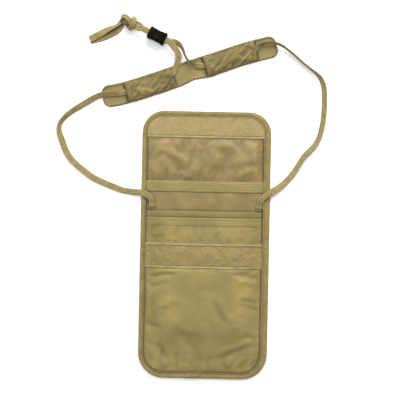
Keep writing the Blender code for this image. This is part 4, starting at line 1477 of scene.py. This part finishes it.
def base_top(distance, across):
    """Height of the pad's upper face: thin, softly rippled, with a rolled edge all round."""
    half = pad_side(distance, 1 if across > 0 else -1)
    edge = min(half - abs(across), distance, PAD_LENGTH - distance)
    roll = 0.85 * math.exp(-((edge - 1.5) / 1.0) ** 2)
    ripple = 0.16 * fractal(distance * 0.12, across * 0.12, 51.0) * smooth_step((edge - 2.0) / 3.0)
    fine = 0.12 * fractal(distance * 0.45, across * 0.2, 53.0)
    level = PAD_TOP + roll + 1.6 * ripple + fine * smooth_step(edge / 2.0)
    level -= 0.5 * mouth_near(distance, across)
    return level * smooth_step(edge / 0.9 + 0.25) + 0.1


def build_pad_base():
    """The band behind the neck, one soft closed form with its rolled edge."""
    count = round(PAD_LENGTH / PAD_STEP)
    shares = [math.sin(math.pi / 2 * (2 * column / PAD_COLUMNS - 1)) for column in range(PAD_COLUMNS + 1)]
    sections, along_map = [], []
    for index in range(count + 1):
        distance = 0.15 + (PAD_LENGTH - 0.3) * index / count
        places = [share * pad_side(distance, 1 if share > 0 else -1) for share in shares]
        upper = [pad_point(distance, v, base_top(distance, v)) for v in places]
        lower = [pad_point(distance, v, 0.02) for v in places[-2:0:-1]]
        sections.append(upper + lower)
        along_map.append(distance)
    across = [PAD_HALF * share for share in shares]
    across += [2 * PAD_HALF + v for v in across[1:-1]] + [3 * PAD_HALF + 1.0]
    band = sweep("pad_band", sections, across, along_map, PAD)
    # Painted shade on the band's upper face just outside each sleeve's mouth.
    shades = []
    for distance in along_map:
        shades += [mouth_near(distance, v) for v in across[:PAD_COLUMNS + 1]] + [0.0] * (PAD_COLUMNS - 1)
    mark_painted_shade(band, shades)
    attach(band, "neck_pad")
    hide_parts("pad_base")


def pad_outline(inset, step):
    """Points round the pad's edge, a distance in from it."""
    distances = np.arange(inset, PAD_LENGTH - inset, step)
    upper = [(distance, pad_side(distance, 1) - inset) for distance in distances]
    lower = [(distance, inset - pad_side(distance, -1)) for distance in distances[::-1]]
    return upper + lower


def build_pad_stitches():
    """Overcast stitches that wrap the pad's edge all the way round."""
    verts, faces = [], []
    ring = [Vector(pad_point(distance, across, 0.0)) for distance, across in pad_outline(0.2, 0.5)]
    for place, along in evenly_along([*ring, ring[0]], 0.0, OVERCAST_PITCH):
        inward = Vector((along.y, -along.x, 0.0))
        slant = (inward + along * OVERCAST_SLANT).normalized()
        spot = place + inward * OVERCAST_INSET + UP * OVERCAST_Z
        add_stitch(verts, faces, spot, slant, OVERCAST_LENGTH, OVERCAST_RADIUS)
    row = new_piece("pad_edge_stitches", verts, faces, DARK_THREAD)
    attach(row, "neck_pad")


def sleeve_rise(share, from_start, from_end, distance, sideways):
    """Height of a sleeve above the pad: an arch, creased on the slant, with a flat hem at its first mouth."""
    arch = math.cos(sideways) ** 0.75
    mouth = smooth_step(min(from_start, from_end) / 9.0)
    hem = smooth_step(from_start / 0.5) * smooth_step((SLEEVE_HEM - from_start) / 0.7)
    place = Vector((distance, share * SLEEVE_HALF))
    turned_along = place.x * math.cos(WRINKLE_TURN) + place.y * math.sin(WRINKLE_TURN)
    turned_over = place.y * math.cos(WRINKLE_TURN) - place.x * math.sin(WRINKLE_TURN)
    crease = 1.0 - 2.2 * abs(noise.noise(Vector((turned_over * 0.13, turned_along * 0.03, 61.0))))
    crease += 0.5 * noise.noise(Vector((turned_over * 0.34, turned_along * 0.07, 65.0)))
    soft = noise.noise(Vector((turned_over * 0.07, turned_along * 0.04, 67.0)))
    opening = 1.2 * smooth_step(1.0 - from_end / 7.0)
    rise = (SLEEVE_HEIGHT + 0.2 * mouth + opening) * arch
    return rise + arch * mouth * (1.05 * crease + 0.9 * soft) + 0.5 * hem * arch


def sleeve_grids(first, last, seed):
    """A sleeve's points and their map, in rows across it."""
    count = round((last - first) / PAD_STEP)
    grid, uv_grid = [], []
    for index in range(count + 1):
        share_along = index / count
        line, uv_line = [], []
        for column in range(SLEEVE_COLUMNS + 1):
            sideways = math.pi / 2 * (2 * column / SLEEVE_COLUMNS - 1) * 0.995
            share = math.sin(sideways)
            bow = MOUTH_BOW * math.cos(sideways) ** 2
            distance = first + bow + (last - first - 2 * bow) * share_along
            rise = sleeve_rise(share, distance - first, last - distance, distance + seed, sideways)
            z = PAD_TOP + 0.45 + rise
            line.append(pad_point(distance, share * SLEEVE_HALF * 0.96, z))
            uv_line.append((distance, share * SLEEVE_HALF * 1.2))
        grid.append(line)
        uv_grid.append(uv_line)
    return grid, uv_grid


def lay_on(tree, places, default):
    """Points just above a surface at places given along the pad and across it."""
    row = []
    for distance, across in places:
        x, y, _ = pad_point(distance, across, 0.0)
        row.append((x, y, drop(tree, x, y, default) + 0.3))
    return row


def sleeve_rows(tree, first, last):
    """A sleeve's stitch lines: across both its hems and along both its sides."""
    across_hem = [share * SLEEVE_HALF for share in np.linspace(-0.86, 0.86, 14)]
    along_side = np.arange(first + 1.0, last - 1.0, 2.0)
    rows = [lay_on(tree, [(distance, across) for across in across_hem], 5.0)
            for distance in (first + SLEEVE_HEM_STITCH, last - 1.6)]
    rows += [lay_on(tree, [(distance, side * SLEEVE_HALF * 0.9) for distance in along_side], 2.2)
             for side in (-1, 1)]
    return rows


def build_sleeve(name, node, span, seed):
    """One tunnel that the cord runs through, sewn to the pad along both sides."""
    first, last = span
    grid, uv_grid = sleeve_grids(first, last, seed)
    sleeve = grid_sheet(name, grid, SLEEVE, uv_grid)
    middle = [(pad_place(distance)[0], distance) for distance in np.arange(first, last, 1.0)]

    def held(x, y):
        spot = Vector((x, y))
        centre, distance = min(middle, key=lambda pair: (pair[0] - spot).length)
        across = abs((spot - centre).dot(pad_place(distance)[2]))
        return across > SLEEVE_HALF * 0.90 or distance < first + SLEEVE_HEM or distance > last - 1.8

    settle(sleeve, held, grow=0.05, bending=0.3, cap=1.3, push=0.3)
    paint_shade_and_highlight(sleeve, SLEEVE_COLUMNS + 1, 8, 1.15)
    thicken(sleeve, 0.45, 0.0)
    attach(sleeve, "neck_pad")
    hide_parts(node)
    rows = sleeve_rows(surface_of(sleeve), first, last)
    row = stitches(f"{name}_stitches", rows, DARK_THREAD, pitch=2.2, length=1.6, radius=0.25)
    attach(row, "neck_pad")


# ---------------- cord lock

LOCK_HALF_LENGTH = 9.5
LOCK_HALF_END = 6.7
LOCK_HALF_WAIST = 5.7
LOCK_CORNER = 1.5
LOCK_FLOOR = 1.0
BORE_RADIUS = 4.8
BUTTON_RADIUS = 4.5
BUTTON_BOTTOM = box_mm("lock_button")[0].z
SLOT_WIDTH = 7.2
SLOT_BOTTOM = 5.9
CHANNEL_HEIGHT = 3.3
BUTTON_SLOT_HEIGHT = 5.5
SPRING_RADIUS = 3.4
SPRING_WIRE = 0.35
SPRING_TURNS = 4
COIL_STEPS = 30
COIL_SIDES = 8


def lock_outline(inset):
    """The barrel's outline from above: pinched in the middle, rounded corners, a raised rim at one end."""
    points = []
    steps = 26
    for side in (1, -1):
        for index in range(steps + 1):
            along = (1 - 2 * index / steps) * side
            half = LOCK_HALF_WAIST + (LOCK_HALF_END - LOCK_HALF_WAIST) * abs(along) ** 2.2
            rim = 0.28 * smooth_step((along - 0.72) / 0.06)
            from_end = LOCK_HALF_LENGTH * (1 - abs(along))
            corner = LOCK_CORNER - min(LOCK_CORNER, from_end)
            rounded = LOCK_CORNER - math.sqrt(max(0.0, LOCK_CORNER ** 2 - corner ** 2))
            points.append((along * (LOCK_HALF_LENGTH - inset), side * (half + rim - rounded - inset)))
    return points


def circle_ring(radius, z, sides=64):
    """A level ring of points about the lock's middle."""
    return [lock_point(radius * math.cos(2 * math.pi * index / sides),
                       radius * math.sin(2 * math.pi * index / sides), z) for index in range(sides)]


def slot_cutter(bottom, height):
    """A long bar along the lock's axis, the size of the way through for the two runs of cord."""
    corners = [(-20, -SLOT_WIDTH / 2), (20, -SLOT_WIDTH / 2), (20, SLOT_WIDTH / 2), (-20, SLOT_WIDTH / 2)]
    rings = [[lock_point(x, y, z) for x, y in corners] for z in (bottom, bottom + height)]
    return solid_from_rings("cutter", rings, PLASTIC)


def carve(obj, cutters, rounding):
    """Cut cutters out of a piece and round the edges that they leave."""
    for index, cutter in enumerate(cutters):
        cut = obj.modifiers.new(f"cut_{index}", "BOOLEAN")
        cut.operation = "DIFFERENCE"
        cut.solver = "EXACT"
        cut.object = cutter
    add_modifier(obj, "BEVEL", width=rounding * MM, segments=3, limit_method="ANGLE",
                 angle_limit=math.radians(50.0))
    graph = bpy.context.evaluated_depsgraph_get()
    mesh = bpy.data.meshes.new_from_object(obj.evaluated_get(graph))
    obj.modifiers.clear()
    obj.data = mesh
    mesh.shade_smooth()
    mesh.set_sharp_from_angle(angle=math.radians(38.0))
    for cutter in cutters:
        bpy.data.objects.remove(cutter)


def build_barrel():
    """The lock's barrel with its bore and the cord's way through."""
    levels = [(0.0, 1.0), (0.2, 0.5), (0.7, 0.12), (1.3, 0.0), (LOCK_HEIGHT - 1.3, 0.0),
              (LOCK_HEIGHT - 0.6, 0.12), (LOCK_HEIGHT - 0.15, 0.5), (LOCK_HEIGHT, 1.1)]
    rings = [[lock_point(x, y, z) for x, y in lock_outline(inset)] for z, inset in levels]
    body = solid_from_rings("lock_barrel", rings, PLASTIC)
    bore = solid_from_rings("cutter", [circle_ring(BORE_RADIUS, LOCK_FLOOR), circle_ring(BORE_RADIUS, 20.0)],
                            PLASTIC)
    carve(body, [bore, slot_cutter(SLOT_BOTTOM, CHANNEL_HEIGHT)], 0.22)
    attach(body, "cord_lock")
    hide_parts("lock_body")


def build_button():
    """The sprung button, dished on top, with the slot that holds the cord."""
    profile = [(BUTTON_RADIUS - 0.4, BUTTON_BOTTOM), (BUTTON_RADIUS, BUTTON_BOTTOM + 0.4),
               (BUTTON_RADIUS, BUTTON_TOP - 0.7), (BUTTON_RADIUS - 0.15, BUTTON_TOP - 0.25),
               (BUTTON_RADIUS - 0.6, BUTTON_TOP), (BUTTON_RADIUS - 1.1, BUTTON_TOP - 0.08),
               (BUTTON_RADIUS - 1.7, BUTTON_TOP - 0.34), (1.4, BUTTON_TOP - 0.5), (0.5, BUTTON_TOP - 0.54)]
    button = solid_from_rings("lock_plunger", [circle_ring(radius, z) for radius, z in profile], BUTTON)
    carve(button, [slot_cutter(SLOT_BOTTOM, BUTTON_SLOT_HEIGHT)], 0.15)
    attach(button, "lock_button")
    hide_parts("lock_button")


def build_spring():
    """The coil under the button, built at one length."""
    low, high = box_mm("lock_spring")
    sections, along_map = [], []
    count = COIL_STEPS * SPRING_TURNS
    for index in range(count + 1):
        angle = 2 * math.pi * SPRING_TURNS * index / count
        outward = lock_point(math.cos(angle), math.sin(angle), 0.0) - LOCK_CENTRE
        centre = LOCK_CENTRE + outward * SPRING_RADIUS
        z = low.z + SPRING_WIRE + (high.z - low.z - 2 * SPRING_WIRE) * index / count
        ring = [centre + UP * z + (outward * math.cos(turn) + UP * math.sin(turn)) * SPRING_WIRE
                for turn in np.linspace(0, 2 * math.pi, COIL_SIDES + 1)[:-1]]
        sections.append(ring)
        along_map.append(SPRING_RADIUS * angle)
    spring = sweep("lock_coil", sections, [0.28 * index for index in range(COIL_SIDES + 1)], along_map, STEEL)
    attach(spring, "cord_lock")
    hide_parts("lock_spring")
    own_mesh(spring)


stage_scene()
build_cord()
build_shell()
build_lining()
build_facing()
build_binding()
build_binding_end()
build_binding_stitches()
build_hook_tape()
build_middle_pocket()
build_front_pocket()
build_tacks()
build_pad_base()
build_pad_stitches()
build_sleeve("left_sleeve_cloth", "left_sleeve", LEFT_SLEEVE, 0.0)
build_sleeve("right_sleeve_cloth", "right_sleeve", RIGHT_SLEEVE, 40.0)
build_barrel()
build_button()
build_spring()
